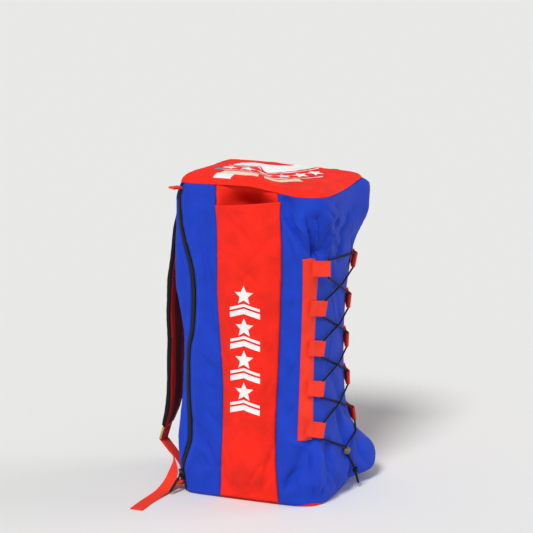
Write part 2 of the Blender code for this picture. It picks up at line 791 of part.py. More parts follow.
def smooth_curve(points, parts):
    """Points on a smooth curve through a route's own points, a number of parts to each of its stretches."""
    made = []
    for i in range(len(points) - 1):
        p0, p1 = points[max(i - 1, 0)], points[i]
        p2, p3 = points[i + 1], points[min(i + 2, len(points) - 1)]
        for k in range(parts):
            t = k / parts
            straight = 2 * p1 + (p2 - p0) * t
            bend = (2 * p0 - 5 * p1 + 4 * p2 - p3) * t * t + (3 * p1 - p0 - 3 * p2 + p3) * t**3
            made.append((straight + bend) / 2)
    made.append(points[-1])
    return made


def add_cord(name, points, diameter, look):
    curve = bpy.data.curves.new(name, "CURVE")
    curve.dimensions = "3D"
    curve.bevel_depth = diameter / 2
    curve.bevel_resolution = 2
    curve.use_fill_caps = True
    spline = curve.splines.new("POLY")
    spline.points.add(len(points) - 1)
    for spot, point in zip(spline.points, points):
        spot.co = (*point, 1.0)
    curve.materials.append(material(look))
    item = bpy.data.objects.new(name, curve)
    bpy.context.scene.collection.objects.link(item)
    return item


def lock_place():
    return perimeter(LOCK_SHARE) / 2 + LOCK_ACROSS * BODY_WIDTH


def lock_lift():
    """How far out of the cloth the lock's middle is, clear of the cloth all along the lock."""
    place = lock_place()
    here = cloth(place, LOCK_SHARE)
    out = cloth_axes(place, LOCK_SHARE)[2]
    long, tall = LOCK_LENGTH / 2, LOCK_DIAMETER / 2 / BODY_HEIGHT
    beside = [(a * long, u * tall) for a in (-1, 0, 1, 1.8) for u in (-1, 0, 1)]
    rise = max((cloth(place + a, LOCK_SHARE + u) - here).dot(out) for a, u in beside)
    return LOCK_DIAMETER / 2 + 2 * LAY_GAP + max(rise, 0.0)


def lock_frame():
    """The cord lock's frame: along its button's travel to the right, up the cords, out of the cloth."""
    return squared(cloth_frame(lock_place(), LOCK_SHARE, lock_lift()))


def clear_of_cloth(around, height, lift):
    """A point over the cloth, lifted over whatever stands up close beside it."""
    here = cloth(around, height)
    out = cloth_axes(around, height)[2]
    reach = 3 * CORD_DIAMETER
    beside = [(0.0, 0.0)]
    beside += [(a * reach, u * reach / BODY_HEIGHT) for a in (-1, 0, 1) for u in (-1, 0, 1)]
    rise = max((cloth(around + a, height + u) - here).dot(out) for a, u in beside)
    return here + out * (lift + rise)


def seat_under(point, around, height):
    """The place of the cloth under a point, looked for from a place near it, and the point's lift."""
    for _ in range(6):
        round_axis, up_axis, out_axis = cloth_axes(around, height)
        off = point - skin(around, height)
        around += off.dot(round_axis)
        height += off.dot(up_axis) / BODY_HEIGHT
    return around, height, off.dot(out_axis)


def kept_clear(point, around, height, lift):
    """A point near a place of the cloth, moved out where it would be less than a lift clear."""
    around, height, _ = seat_under(point, around, height)
    out = cloth_axes(around, height)[2]
    return point + out * max((clear_of_cloth(around, height, lift) - point).dot(out), 0.0)


def lace_route():
    """The lacing from the lock by the left, zigzag up through the loops, across the top and back down."""
    eye, out = loop_eye()
    lock = lock_frame()
    spread = CORD_DIAMETER / 2 + RUN_GAP / 2
    lay = CORD_DIAMETER / 2 + CORD_LAY

    def exit_point(index, side, rise):
        """Just below a loop at -1, just above it at 1, or a cord's width higher at 2."""
        up = math.copysign(WEBBING / 2 + abs(rise) * CORD_DIAMETER, rise)
        return loop_frame(index, side).point(eye, up, out)

    def surface_place(index, side, rise, past=0.0):
        """Where a loop's exit, or a spot past it, is on the cloth: distance round, height share and lift."""
        turn = 1 if side == "left" else -1
        up = math.copysign(WEBBING / 2 + abs(rise) * CORD_DIAMETER, rise)
        height = loop_height(index) + up / BODY_HEIGHT
        around = lace_edge(height, side, True) + turn * (eye + past)
        return seat_under(loop_frame(index, side).point(eye + past, up, out), around, height)

    def along_cloth(start, finish, shares, over):
        """Points over the cloth from one place to another, each a distance round, a height and a lift."""
        points = []
        for share in shares:
            around = start[0] + (finish[0] - start[0]) * (0.6 * share + 0.4 * ease(share))
            height = start[1] + (finish[1] - start[1]) * share
            rest = start[2] if share < 0.5 else finish[2]
            lift = lay + max(rest - lay, 0.0) * (2 * share - 1) ** 2
            if over:
                lift += (CORD_DIAMETER + 2 * RUN_GAP) * (1 - abs(2 * share - 1)) ** 0.5
            points.append(clear_of_cloth(around, height, lift))
        return points

    def strand(side, over):
        """One end of the lacing, from the lowest loop up to the top one."""
        points = []
        for index in range(LOOP_COUNT - 1, -1, -1):
            points += [exit_point(index, side, -1), exit_point(index, side, 1)]
            if index:
                other = "right" if side == "left" else "left"
                start, finish = surface_place(index, side, 1), surface_place(index - 1, other, -1)
                points += along_cloth(start, finish, (0.12, 0.31, 0.5, 0.69, 0.88), over)
                side, over = other, not over
        return points, side

    def lead(turn, side):
        """From under the lock, up through it and out to the lowest loop."""
        rise = LOCK_DIAMETER / 2
        inside = [lock.point(turn * spread, up, 0) for up in (-rise, rise, rise + CORD_DIAMETER)]
        start = (lock_place() + turn * spread, LOCK_SHARE + 2 * rise / BODY_HEIGHT, lock_lift())
        finish = surface_place(LOOP_COUNT - 1, side, -1.3, 3 * CORD_DIAMETER)
        return inside + along_cloth(start, finish, (0.2, 0.4, 0.55, 0.7, 0.85, 1.0), False)

    left, left_end = strand("left", True)
    right, right_end = strand("right", False)
    start, finish = surface_place(0, left_end, 2), surface_place(0, right_end, 2)
    crest = along_cloth(start, finish, (0.08, 0.22, 0.36, 0.5, 0.64, 0.78, 0.92), False)
    return lead(-1, "left") + left + crest + right[::-1] + lead(1, "right")[::-1]


def add_lacing():
    add_cord("lacing_cord", lace_route(), CORD_DIAMETER, "black_cord")


def add_boxed_cut(item, place, size, name="slot"):
    """Cut a box, given in a frame's along, up and out directions, through a piece."""
    half = [s / 2 for s in size]
    corners = [(-1, -1), (1, -1), (1, 1), (-1, 1)]
    outline_points = [(half[0] * a, half[2] * o) for a, o in corners]
    cutter = add_prism(item.name + "_" + name, place, outline_points, -half[1], half[1], "black_cord")
    cutter.hide_render = True
    cutter.display_type = "WIRE"
    cut = item.modifiers.new(name, "BOOLEAN")
    cut.object = cutter
    cut.operation = "DIFFERENCE"
    cut.solver = "EXACT"


def add_turned(name, frame, profile, look, sides=14):
    """A round piece about a frame's along axis, from (along, radius) pairs that begin and end on the axis."""
    vertices, faces = [], []
    rings = []
    for along, radius in profile:
        if radius == 0:
            rings.append([len(vertices)] * sides)
            vertices.append(frame.point(along, 0, 0))
            continue
        rings.append(list(range(len(vertices), len(vertices) + sides)))
        for k in range(sides):
            turn = 2 * math.pi * k / sides
            vertices.append(frame.point(along, radius * math.cos(turn), radius * math.sin(turn)))
    for low, high in zip(rings, rings[1:]):
        for k in range(sides):
            n = (k + 1) % sides
            corners = list(dict.fromkeys((low[k], high[k], high[n], low[n])))
            if len(corners) > 2:
                faces.append(tuple(corners[::-1]))
    return add_object(name, vertices, faces, look, 35.0)


def add_cord_lock():
    frame = lock_frame()
    half, radius = LOCK_LENGTH / 2, LOCK_DIAMETER / 2
    bore = BUTTON_DIAMETER / 2 + RUN_GAP
    floor = -half + LOCK_WALL
    barrel = add_turned(
        "cord_lock_barrel",
        frame,
        (
            (-half, 0),
            (-half, radius * 0.72),
            (-half * 0.55, radius),
            (half * 0.55, radius),
            (half, radius * 0.9),
            (half, bore),
            (floor, bore),
            (floor, 0),
        ),
        "olive_plastic",
    )
    slot_along = 2 * CORD_DIAMETER + 3 * RUN_GAP
    slot_out = CORD_DIAMETER + 2 * RUN_GAP
    add_boxed_cut(barrel, frame.point, (slot_along, 2 * LOCK_DIAMETER, slot_out))
    tip = floor + BUTTON_TRAVEL + RUN_GAP
    head = half + BUTTON_PROUD
    button_radius = BUTTON_DIAMETER / 2
    button = add_turned(
        "cord_lock_button",
        frame,
        (
            (tip, 0),
            (tip, button_radius),
            (head - 0.0015, button_radius),
            (head, button_radius * 0.7),
            (head, 0),
        ),
        "olive_plastic",
    )

    def button_slot(along, up, out):
        return frame.point(along + BUTTON_TRAVEL / 2, up, out)

    add_boxed_cut(button, button_slot, (slot_along + BUTTON_TRAVEL, 2 * LOCK_DIAMETER, slot_out))


def add_tails():
    """The two ends of the lacing below the lock, side by side, and the knot that ties them."""
    frame = lock_frame()
    start = -LOCK_DIAMETER / 2 - 2 * LAY_GAP
    lead = TAIL_DIAMETER
    below = LOCK_SHARE - KNOT_DROP[2] / BODY_HEIGHT

    def clear(point, height, diameter):
        return kept_clear(point, lock_place() + KNOT_DROP[0], height, diameter / 2 + LAY_GAP)

    across, out, drop = KNOT_DROP
    knot = clear(frame.origin + Vector((across, -out, -drop)), below, KNOT_DIAMETER)
    tip = frame.origin + Vector((across, -out, -drop)) + Vector((0.3 * across, -0.3 * out, -drop / 2))
    tip = clear(tip, below - drop / 2 / BODY_HEIGHT, CORD_DIAMETER)
    down = (tip - knot).normalized()
    end = knot - down * (KNOT_LENGTH / 2 + 2 * LAY_GAP)
    middle = [frame.point(0, start - lead, 0), frame.point(0, start - 2 * lead, 0), end - down * 2 * lead]
    middle[1:] = [clear(point, (LOCK_SHARE + below) / 2, TAIL_DIAMETER) for point in middle[1:]]
    middle.append(end - down * lead)
    points = [frame.point(0, start, 0)] + smooth_curve(middle, 2) + [end]
    add_cord("lacing_tails", points, TAIL_DIAMETER, "black_cord")
    across = Vector((1, 0, 0))
    across = (across - down * across.dot(down)).normalized()
    half, cord = KNOT_LENGTH / 2, CORD_DIAMETER / 2
    rows = (
        (-half, 1.9 * cord, 1.1 * cord),
        (-half * 0.7, KNOT_DIAMETER * 0.44, KNOT_DIAMETER * 0.40),
        (half * 0.1, KNOT_DIAMETER * 0.5, KNOT_DIAMETER * 0.46),
        (half * 0.8, KNOT_DIAMETER * 0.40, KNOT_DIAMETER * 0.36),
        (half * 1.3, 1.9 * cord, 1.0 * cord),
        (half * 3.2, 1.7 * cord, 1.0 * cord),
        (half * 3.6, 2.3 * cord, 1.7 * cord),
        (half * 4.6, 2.2 * cord, 1.6 * cord),
        (half * 5.0, 1.2 * cord, 0.9 * cord),
    )
    lump = Frame(knot, down, across, down.cross(across))
    add_lofted("lacing_knot", lump, rows, "black_cord", 8)


def add_rings(name, rings, look, smooth_angle=40.0, origin=Vector((0, 0, 0))):
    """A closed solid through matching rings of points, capped at both ends."""
    sides = len(rings[0])
    vertices = [point for ring in rings for point in ring]
    faces = []
    for r in range(len(rings) - 1):
        for k in range(sides):
            n = (k + 1) % sides
            a, b = r * sides, (r + 1) * sides
            faces.append((a + k, a + n, b + n, b + k))
    faces.append(tuple(range(sides))[::-1])
    faces.append(tuple(range((len(rings) - 1) * sides, len(rings) * sides)))
    return add_object(name, vertices, faces, look, smooth_angle, origin)


def add_lofted(name, frame, rows, look, sides):
    """A closed round piece through oval sections along a frame: (along, half width, half thickness)."""
    rings = []
    for along, wide, thick in rows:
        turns = [2 * math.pi * (k + 0.5) / sides for k in range(sides)]
        rings.append([frame.point(along, wide * math.cos(a), thick * math.sin(a)) for a in turns])
    return add_rings(name, rings, look)


def slider_frame():
    height = SLIDER_HEIGHT_ON_ZIP / BODY_HEIGHT
    return squared(cloth_frame(zip_place(height), height, ZIP_PROUD + LAY_GAP))


def add_zip_slider():
    """The slider's body with its bail, an arch that runs up and down and holds the pull."""
    frame = slider_frame()
    half, long, thick = SLIDER_WIDTH / 2, SLIDER_LENGTH / 2, SLIDER_THICKNESS
    lying = Frame(frame.origin, frame.along, frame.out, frame.up)
    plan = [(-half * 0.45, -long), (half * 0.45, -long), (half, long * 0.35), (half, long), (-half, long)]
    plan.append((-half, long * 0.35))
    body = add_prism("zip_slider", lying.point, plan, 0.0, thick, "black_metal")
    on_edge = Frame(frame.origin, frame.up, frame.along, frame.out)
    reach = BAIL_OPENING / 2 + BAIL_WALL
    rise = thick + BAIL_OPENING + BAIL_WALL
    slope = BAIL_WALL
    arch = [(-reach - slope, thick / 2), (reach + slope, thick / 2), (reach + slope, thick)]
    arch.append((reach, rise - slope))
    arch += [(reach - slope / 2, rise), (-reach + slope / 2, rise), (-reach, rise - slope)]
    arch.append((-reach - slope, thick))
    bail = add_prism("zip_bail", on_edge.point, arch, -BAIL_WIDTH / 2, BAIL_WIDTH / 2, "black_metal")
    bail.hide_render = True
    bail.display_type = "WIRE"
    join = body.modifiers.new("bail", "BOOLEAN")
    join.object = bail
    join.operation = "UNION"
    join.solver = "EXACT"

    def opening(along, up, out):
        return frame.point(along, up, out + thick + BAIL_OPENING / 2 - RUN_GAP)

    add_boxed_cut(body, opening, (2 * BAIL_WIDTH, BAIL_OPENING, BAIL_OPENING + 2 * RUN_GAP))


def pull_frame():
    """The pull's frame on its hinge: along the pull, up its width and out of its face."""
    frame = slider_frame()
    droop = math.radians(PULL_DROOP)
    pivot = frame.point(0, 0, SLIDER_THICKNESS + BAIL_OPENING / 2)
    along = frame.out * math.cos(droop) - frame.up * math.sin(droop)
    return Frame(pivot, along, frame.along, along.cross(frame.along))


def add_zip_pull():
    """A long flat pull whose end bar hangs in the slider's bail, with an eye at its far end."""
    frame = pull_frame()
    half, bar = PULL_WIDTH / 2, PULL_THICKNESS / 2
    flat = Frame(frame.origin, frame.along, frame.out, frame.up)
    reach = PULL_LENGTH - bar
    neck, shoulder = PULL_NECK
    plan = [(-bar, -half * 0.7), (neck, -half * 0.7), (shoulder, -half), (reach - half, -half)]
    plan += [(reach - half * 0.3, -half * 0.7), (reach, 0.0), (reach - half * 0.3, half * 0.7)]
    plan += [(reach - half, half), (shoulder, half), (neck, half * 0.7), (-bar, half * 0.7)]
    pull = add_prism("zip_pull", flat.point, plan, -bar, bar, "black_metal", origin=frame.origin)
    slot = BAIL_WALL * 2.2 + BAIL_OPENING / 2

    def slot_place(along, up, out):
        return flat.point(along + bar + slot / 2, up, out)

    def eye_place(along, up, out):
        return flat.point(along + reach - PULL_WIDTH * 0.62, up, out)

    add_boxed_cut(pull, slot_place, (slot, 4 * PULL_THICKNESS, BAIL_WIDTH + 3 * RUN_GAP))
    add_boxed_cut(pull, eye_place, (PULL_WIDTH * 0.7, 4 * PULL_THICKNESS, PULL_WIDTH * 0.42), "eye")


def add_zip_tab(name, height, shift, tilt, lift):
    """A folded tab of webbing that stands out from the cloth at an end of the zip."""
    place = zip_place(height) + shift
    seat = cloth_frame(place, height, lift)
    out = (seat.out * math.cos(tilt) + seat.up * math.sin(tilt)).normalized()
    frame = Frame(seat.origin, out, seat.along, out.cross(seat.along))
    wall = WEBBING_WALL
    total = 2 * wall + ZIP_TAB_FOLD
    long = ZIP_TAB_LENGTH
    outline_points = [(0.0, 0.0), (long - total / 2, 0.0), (long, total * 0.3), (long, total * 0.7)]
    outline_points += [(long - total / 2, total), (0.0, total)]
    hole = [(0.003, wall), (long - total / 2 - 0.001, wall), (long - wall, total * 0.42)]
    hole += [(long - wall, total * 0.58), (long - total / 2 - 0.001, total - wall), (0.003, total - wall)]
    half = ZIP_TAB_WIDTH / 2
    add_prism(name, frame.point, outline_points, -half, half, "red_webbing", [hole])


def strap_row(height, side):
    """A shoulder strap at a height share: its middle on its inner face, its width and its thickness."""
    clear, across, width, thickness = smooth_rows(STRAP_PATH, height)
    turn = -1 if side == "left" else 1
    x = turn * across * BODY_WIDTH
    around = -x if side == "left" else perimeter(height) - x
    y = max(cloth(around + w * STRAP_WIDTH, height).y for w in (-0.45, 0.0, 0.45))
    inner = Vector((x, y + LAY_GAP + clear * BODY_DEPTH, height * BODY_HEIGHT))
    return inner, width * STRAP_WIDTH, thickness * STRAP_THICKNESS


def strap_heights():
    return [STRAP_TOP + (STRAP_LOW - STRAP_TOP) * (i / STRAP_ROWS) ** 1.2 for i in range(STRAP_ROWS + 1)]


def add_shoulder_strap(side):
    """A padded strap: flat on the back at its top end, then clear of it down to its narrow lower end."""
    rings = []
    heights = strap_heights()
    for i, height in enumerate(heights):
        inner, width, thickness = strap_row(height, side)
        ahead = strap_row(heights[min(i + 1, STRAP_ROWS)], side)[0]
        behind = strap_row(heights[max(i - 1, 0)], side)[0]
        down = (ahead - behind).normalized()
        out = Vector((0, -down.z, down.y)).normalized()
        section = [(-0.5, 0.2), (-0.42, 0.0), (0.42, 0.0), (0.5, 0.2)]
        section += [(0.5, 0.8), (0.42, 1.0), (-0.42, 1.0), (-0.5, 0.8)]
        rings.append([inner + Vector((w * width, 0, 0)) + out * (t * thickness) for w, t in section])
    add_rings("shoulder_strap_" + side, rings, "black_padding", 30.0)


def buckle_frame(side):
    """The buckle's frame just below the strap: along across it, up in its plane, out of its face."""
    end, _, thickness = strap_row(STRAP_LOW, side)
    above = strap_row(STRAP_LOW + 0.03, side)[0]
    up = (above - end)
    up.x = 0
    up.normalize()
    out = Vector((0, up.z, -up.y))
    origin = end + out * (thickness / 2) - up * (BUCKLE_HEIGHT / 2 + LINK_LENGTH)
    return Frame(origin, Vector((1, 0, 0)), up, out)


def add_strap_buckle(side):
    """A three-bar buckle with two slots."""
    frame = buckle_frame(side)
    half, tall, thick = BUCKLE_WIDTH / 2, BUCKLE_HEIGHT / 2, BUCKLE_BAR / 2
    lying = Frame(frame.origin, frame.along, frame.out, frame.up)
    corner = BUCKLE_BAR / 2
    plan = [(-half + corner, -tall), (half - corner, -tall), (half, -tall + corner), (half, tall - corner)]
    plan += [(half - corner, tall), (-half + corner, tall), (-half, tall - corner), (-half, -tall + corner)]
    buckle = add_prism("strap_buckle_" + side, lying.point, plan, -thick, thick, "brass")
    slot = buckle_slot()
    for name, turn in (("upper", 1), ("lower", -1)):

        def slot_place(along, up, out, turn=turn):
            return frame.point(along, up + turn * (slot + BUCKLE_BAR) / 2, out)

        size = (BUCKLE_WIDTH - 2 * BUCKLE_BAR * 0.8, slot, 4 * BUCKLE_BAR)
        add_boxed_cut(buckle, slot_place, size, name)


def buckle_slot():
    return (BUCKLE_HEIGHT - 3 * BUCKLE_BAR) / 2


def add_strap_link(side):
    """The short webbing that holds the buckle's top bar to the end of the padded strap."""
    frame = buckle_frame(side)
    on_edge = Frame(frame.origin, frame.out, frame.along, frame.up)
    inside = BUCKLE_BAR / 2 + LAY_GAP
    outside = inside + WEBBING_WALL
    bar = BUCKLE_HEIGHT / 2 - BUCKLE_BAR
    top = BUCKLE_HEIGHT / 2 + LINK_LENGTH - LAY_GAP
    turn = bar - LAY_GAP
    fold = turn - WEBBING_WALL
    outline_points = [(-outside, top), (-outside, turn), (-inside, fold), (inside, fold), (outside, turn)]
    outline_points += [(outside, top), (inside, top), (inside, turn), (-inside, turn), (-inside, top)]
    half = STRAP_WEBBING / 2
    add_prism("strap_link_" + side, on_edge.point, outline_points[::-1], -half, half, "red_webbing")


def add_strap_webbing(side):
    """The adjusting webbing: from the bag's lower back corner up round the buckle's middle bar, with its
    free end hanging down and lying out on the floor."""
    frame = buckle_frame(side)
    turn = -1 if side == "left" else 1
    inside = BUCKLE_BAR / 2 + LAY_GAP
    centre = inside + WEBBING_WALL / 2
    level = BUCKLE_BAR / 2
    seats = []
    for share in ANCHOR_HEIGHTS:
        x = turn * ANCHOR_ACROSS * BODY_WIDTH
        around = -x if side == "left" else perimeter(share) - x
        beside = [(w * STRAP_WEBBING, r) for w in (-0.5, 0.0, 0.5) for r in (-0.02, 0.0, 0.02)]
        back = max(cloth(around + w, share + r).y for w, r in beside)
        seats.append(Vector((x, back + LAY_GAP + WEBBING_WALL / 2, share * BODY_HEIGHT)))
    straight = -BUCKLE_HEIGHT / 2 - 2 * RUN_GAP
    past = straight - 2 * WEBBING_WALL
    low = frame.point(0, past, -centre)
    rise = seats[-1].lerp(low, 0.35) + Vector((0, -0.004, 0))
    points = seats + smooth_curve([seats[-1], rise, low], 2)[1:]
    points += [frame.point(0, straight, -centre), frame.point(0, level - 0.0006, -centre)]
    for angle in (-45, 0, 45):
        a = math.radians(angle)
        points.append(frame.point(0, level + centre * math.cos(a), centre * math.sin(a)))
    points += [frame.point(0, level - 0.0006, centre), frame.point(0, straight, centre)]
    points.append(frame.point(0, past, centre))
    rows = [(point, 0.0) for point in points]
    for across, out, height, twist in TAIL:
        x, y, z = turn * across * BODY_WIDTH / 2, out * BODY_DEPTH / 2, height * BODY_HEIGHT
        rows.append((Vector((x, y, z)), twist))
    outer, inner = [], []
    for i, (point, twist) in enumerate(rows):
        ahead, behind = rows[min(i + 1, len(rows) - 1)][0], rows[max(i - 1, 0)][0]
        heading = (ahead - behind).normalized()
        quarter = twist * math.pi / 2
        wide = Vector((math.cos(quarter), -turn * math.sin(quarter), 0))
        wide = (wide - heading * wide.dot(heading)).normalized() * STRAP_WEBBING / 2
        face = heading.cross(wide).normalized() * WEBBING_WALL / 2
        outer.append([point - wide + face, point + wide + face])
        inner.append([point - wide - face, point + wide - face])
    add_sheet("strap_webbing_" + side, outer, inner, "red_webbing")

def main():
    clear_scene()
    add_panel("front_panel", front_columns, "blue_cloth")
    add_panel("zip_panel", zip_panel_columns, "blue_cloth")
    add_panel("back_panel", back_columns, "blue_cloth")
    add_side("left")
    add_side("right")
    add_top_panel()
    add_bottom_panel()
    add_zip()
    add_zip_slider()
    add_zip_pull()
    add_zip_tab("zip_tab_top", ZIP_TAB_TOP, 0.0, -math.radians(ZIP_TAB_TILT), ZIP_PROUD + LAY_GAP)
    add_zip_tab("zip_tab_bottom", ZIP_TAB_BOTTOM, -ZIP_TAB_BESIDE, 0.0, RUN_GAP)
    for side in ("left", "right"):
        add_shoulder_strap(side)
        add_strap_buckle(side)
        add_strap_link(side)
        add_strap_webbing(side)
        add_lace_strip(side)
        for index in range(LOOP_COUNT):
            add_lace_loop(index, side)
    add_lacing()
    add_cord_lock()
    add_tails()


main()
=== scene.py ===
import bisect
import functools
import json
import math

import bmesh
import bpy
from mathutils import Matrix, Vector, noise
from mathutils.bvhtree import BVHTree

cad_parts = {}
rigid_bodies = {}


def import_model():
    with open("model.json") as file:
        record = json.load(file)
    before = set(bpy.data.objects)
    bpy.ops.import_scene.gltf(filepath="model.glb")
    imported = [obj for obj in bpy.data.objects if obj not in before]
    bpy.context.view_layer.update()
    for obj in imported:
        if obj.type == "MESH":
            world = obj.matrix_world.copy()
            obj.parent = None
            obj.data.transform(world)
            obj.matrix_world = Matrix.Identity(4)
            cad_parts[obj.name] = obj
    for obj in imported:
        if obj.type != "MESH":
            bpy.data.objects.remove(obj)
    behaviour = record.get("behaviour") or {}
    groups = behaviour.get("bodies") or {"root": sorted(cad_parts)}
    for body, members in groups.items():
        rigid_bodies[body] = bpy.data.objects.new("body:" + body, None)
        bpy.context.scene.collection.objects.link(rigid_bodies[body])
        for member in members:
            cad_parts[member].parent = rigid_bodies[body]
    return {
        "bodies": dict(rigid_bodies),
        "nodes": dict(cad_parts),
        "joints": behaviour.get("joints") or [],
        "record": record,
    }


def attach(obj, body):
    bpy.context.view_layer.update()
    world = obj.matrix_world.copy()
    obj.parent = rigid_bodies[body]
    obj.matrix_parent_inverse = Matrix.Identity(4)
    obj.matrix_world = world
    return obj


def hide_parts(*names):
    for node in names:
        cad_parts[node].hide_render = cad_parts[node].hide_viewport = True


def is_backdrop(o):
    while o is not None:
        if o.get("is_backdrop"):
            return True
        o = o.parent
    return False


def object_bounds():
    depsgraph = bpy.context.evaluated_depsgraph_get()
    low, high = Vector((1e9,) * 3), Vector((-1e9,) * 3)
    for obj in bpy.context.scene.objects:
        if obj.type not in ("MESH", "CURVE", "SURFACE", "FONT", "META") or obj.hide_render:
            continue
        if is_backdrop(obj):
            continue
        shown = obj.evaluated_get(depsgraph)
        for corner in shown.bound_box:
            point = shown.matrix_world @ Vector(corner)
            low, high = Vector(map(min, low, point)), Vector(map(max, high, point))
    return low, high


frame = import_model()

cad_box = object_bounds()

# Camera, at the photograph's viewing angle
CAMERA_PLACE = (-2.73534, -0.99558, 1.03827)
CAMERA_AZIMUTH = -69.6657
CAMERA_ELEVATION = 11.4465
CAMERA_LENS = 101.3
CAMERA_SENSOR = 36.0

# How finely the cloth is drawn
ROW_STEP = 0.0030
COLUMN_STEP = 0.0031
SHELL_WALL = 0.0018

# Zip and stitches
TAPE_WALL = 0.0012
TAPE_ROLL = 0.0007
TOOTH_PITCH = 0.0019
TOOTH_SIZE = (0.0044, 0.0011, 0.0010)
STITCH_PITCH = 0.0038
STITCH_SIZE = (0.0026, 0.0006, 0.0005)
ZIP_STITCH_AWAY = 0.0112
ZIP_STITCH_ENDS = (0.012, 0.985)
HEM_DEPTH = 0.0165
STITCH_LIFT = 0.0001
STITCH_INSET = 0.0022

# Small forms of the cloth: creases, and the draw and puckers at a seam with how far each reaches from it
CREASE_BROAD, CREASE_FINE, CREASE_RIDGE = 0.0016, 0.0007, 0.0011
SEAM_DRAW, SEAM_DRAW_REACH = 0.0011, 0.0028
PUCKER, PUCKER_REACH = 0.0009, 0.009
TOP_SEAM_DRAW, TOP_SEAM_REACH = 0.0010, 0.003
HEM_PROUD = 0.0006

# Quilting and puckers of the padded straps
QUILT_DRAW, QUILT_EDGE, QUILT_CHANNEL = 0.0012, 0.43, 0.125
STRAP_PUCKER, STRAP_SAG = 0.0004, 0.0009
STRAP_STITCH_ACROSS = 0.40
# Shares across the strap's inner face, from its middle: the red lining starts inside the bound edge, then the
# black line, then the painted shade, a darker red for the shaded middle of the inner face
LINING_EDGE, CHANNEL_EDGE, PAINTED_SHADE_EDGE = 0.455, 0.16, 0.09

# Which way round the body, seen from above, leads from a side's middle to the front
TURN = {"left": 1, "right": -1}

# Body
BODY_WIDTH = 0.250
BODY_DEPTH = 0.288
BODY_HEIGHT = 0.625
BASE_RIM = 0.008
FOOT_INSET = 0.011
CROWN_RISE = 0.027
SEAM_GAP = 0.0005

# Side panels and the sleeves on them
SLEEVE_WALL = 0.0014
SLEEVE_BULGE = 0.019
SLEEVE_MOUTH = 0.9504 * BODY_HEIGHT
MOUTH_TILT = 0.106
BAT_DENT = 0.042
LAY_GAP = 0.0004

# Zip
ZIP_SLIT = 0.0092
ZIP_PROUD = 0.0008
SLIDER_HEIGHT_ON_ZIP = 0.030
ZIP_TAB_WIDTH = 0.022
ZIP_TAB_LENGTH = 0.020
ZIP_TAB_FOLD = 0.0012
ZIP_TAB_TOP = 0.982
ZIP_TAB_BOTTOM = 0.008
ZIP_TAB_BESIDE = 0.018
ZIP_TAB_TILT = 12.0
ZIP_TAB_SWELL = 0.0003

# Webbing and lacing
WEBBING = 0.030
WEBBING_WALL = 0.0016
LACE_TOP = 0.494
LACE_BOTTOM = 0.136
LACE_SAG = 0.027
LOOP_COUNT = 5
LOOP_REACH = 0.023
LOOP_TILT = 9.0
LOOP_OVERLAP = 0.018
LOOP_EYE = 0.0052
CORD_DIAMETER = 0.0036

# Cord lock and the tails below it
LOCK_DIAMETER = 0.0125
LOCK_LENGTH = 0.0150
LOCK_SHARE = 0.132
LOCK_ACROSS = -0.05
TAIL_DIAMETER = 0.0056
BUTTON_DIAMETER = 0.0092
BUTTON_PROUD = 0.0060
RUN_GAP = 0.0003
KNOT_DIAMETER = 0.0105
KNOT_LENGTH = 0.0130
KNOT_DROP = (0.028, 0.009, 0.048)

# Shoulder straps
STRAP_WIDTH = 0.075
STRAP_THICKNESS = 0.012
BUCKLE_HEIGHT = 0.028
BUCKLE_BAR = 0.0042
STRAP_WEBBING = 0.027
STRAP_TOP = 0.905
STRAP_LOW = 0.200
LINK_LENGTH = 0.004
ANCHOR_ACROSS = 0.335
ANCHOR_HEIGHTS = (0.030, 0.062)

# A shoulder strap from its lower end up: height share, distance off the back as a share of the depth, middle as
# a share of the body's width, and width and thickness as shares of the strap's own
STRAP_PATH = (
    (0.2, 0.116, 0.285, 0.66, 0.85), (0.25, 0.094, 0.262, 0.86, 1.0), (0.32, 0.092, 0.245, 1.0, 1.0),
    (0.45, 0.104, 0.235, 1.0, 1.0), (0.56, 0.09, 0.232, 1.0, 1.0), (0.65, 0.053, 0.232, 1.0, 1.0),
    (0.74, 0.02, 0.232, 1.0, 1.0), (0.8, 0.005, 0.232, 1.0, 1.0), (0.85, 0.001, 0.232, 0.98, 0.9),
    (0.905, 0.0, 0.232, 0.86, 0.45),
)

# Sections from the base to the top seam: height share, the reach of the back and of the front corners, the
# front's bow between them, the width, and how square the front and back corners are. Lengths are shares of half
# the depth or width.
SECTIONS = (
    (0.0, 1.095, 0.95, 0.03, 0.985, 5.0, 11.0), (0.06, 1.125, 0.995, 0.06, 1.005, 5.2, 12.0),
    (0.12, 1.15, 0.965, 0.08, 1.01, 5.2, 12.0), (0.2, 1.15, 0.885, 0.1, 1.0, 5.8, 12.0),
    (0.3, 1.108, 0.8, 0.12, 0.99, 6.6, 12.0), (0.4, 1.078, 0.76, 0.13, 0.985, 7.0, 12.0),
    (0.5, 1.07, 0.75, 0.13, 0.98, 7.0, 12.0), (0.6, 1.125, 0.765, 0.13, 0.98, 7.0, 12.0),
    (0.68, 1.178, 0.8, 0.11, 0.985, 7.0, 12.0), (0.74, 1.182, 0.86, 0.08, 0.99, 7.0, 12.0),
    (0.8, 1.178, 0.93, 0.05, 1.0, 7.0, 12.0), (0.88, 1.158, 0.99, 0.03, 1.01, 8.0, 12.0),
    (0.95, 1.14, 1.01, 0.02, 1.005, 9.0, 12.0), (1.0, 1.09, 1.0, 0.02, 1.0, 9.0, 11.0),
)

# Height share, and the zip's distance back from the middle of the side as a share of the depth
ZIP_PATH = (
    (0.0, 0.52), (0.07, 0.53), (0.13, 0.49), (0.18, 0.462), (0.34, 0.477), (0.46, 0.475), (0.54, 0.442),
    (0.65, 0.429), (0.73, 0.44), (0.8, 0.48), (0.86, 0.512), (0.93, 0.53), (1.0, 0.524),
)

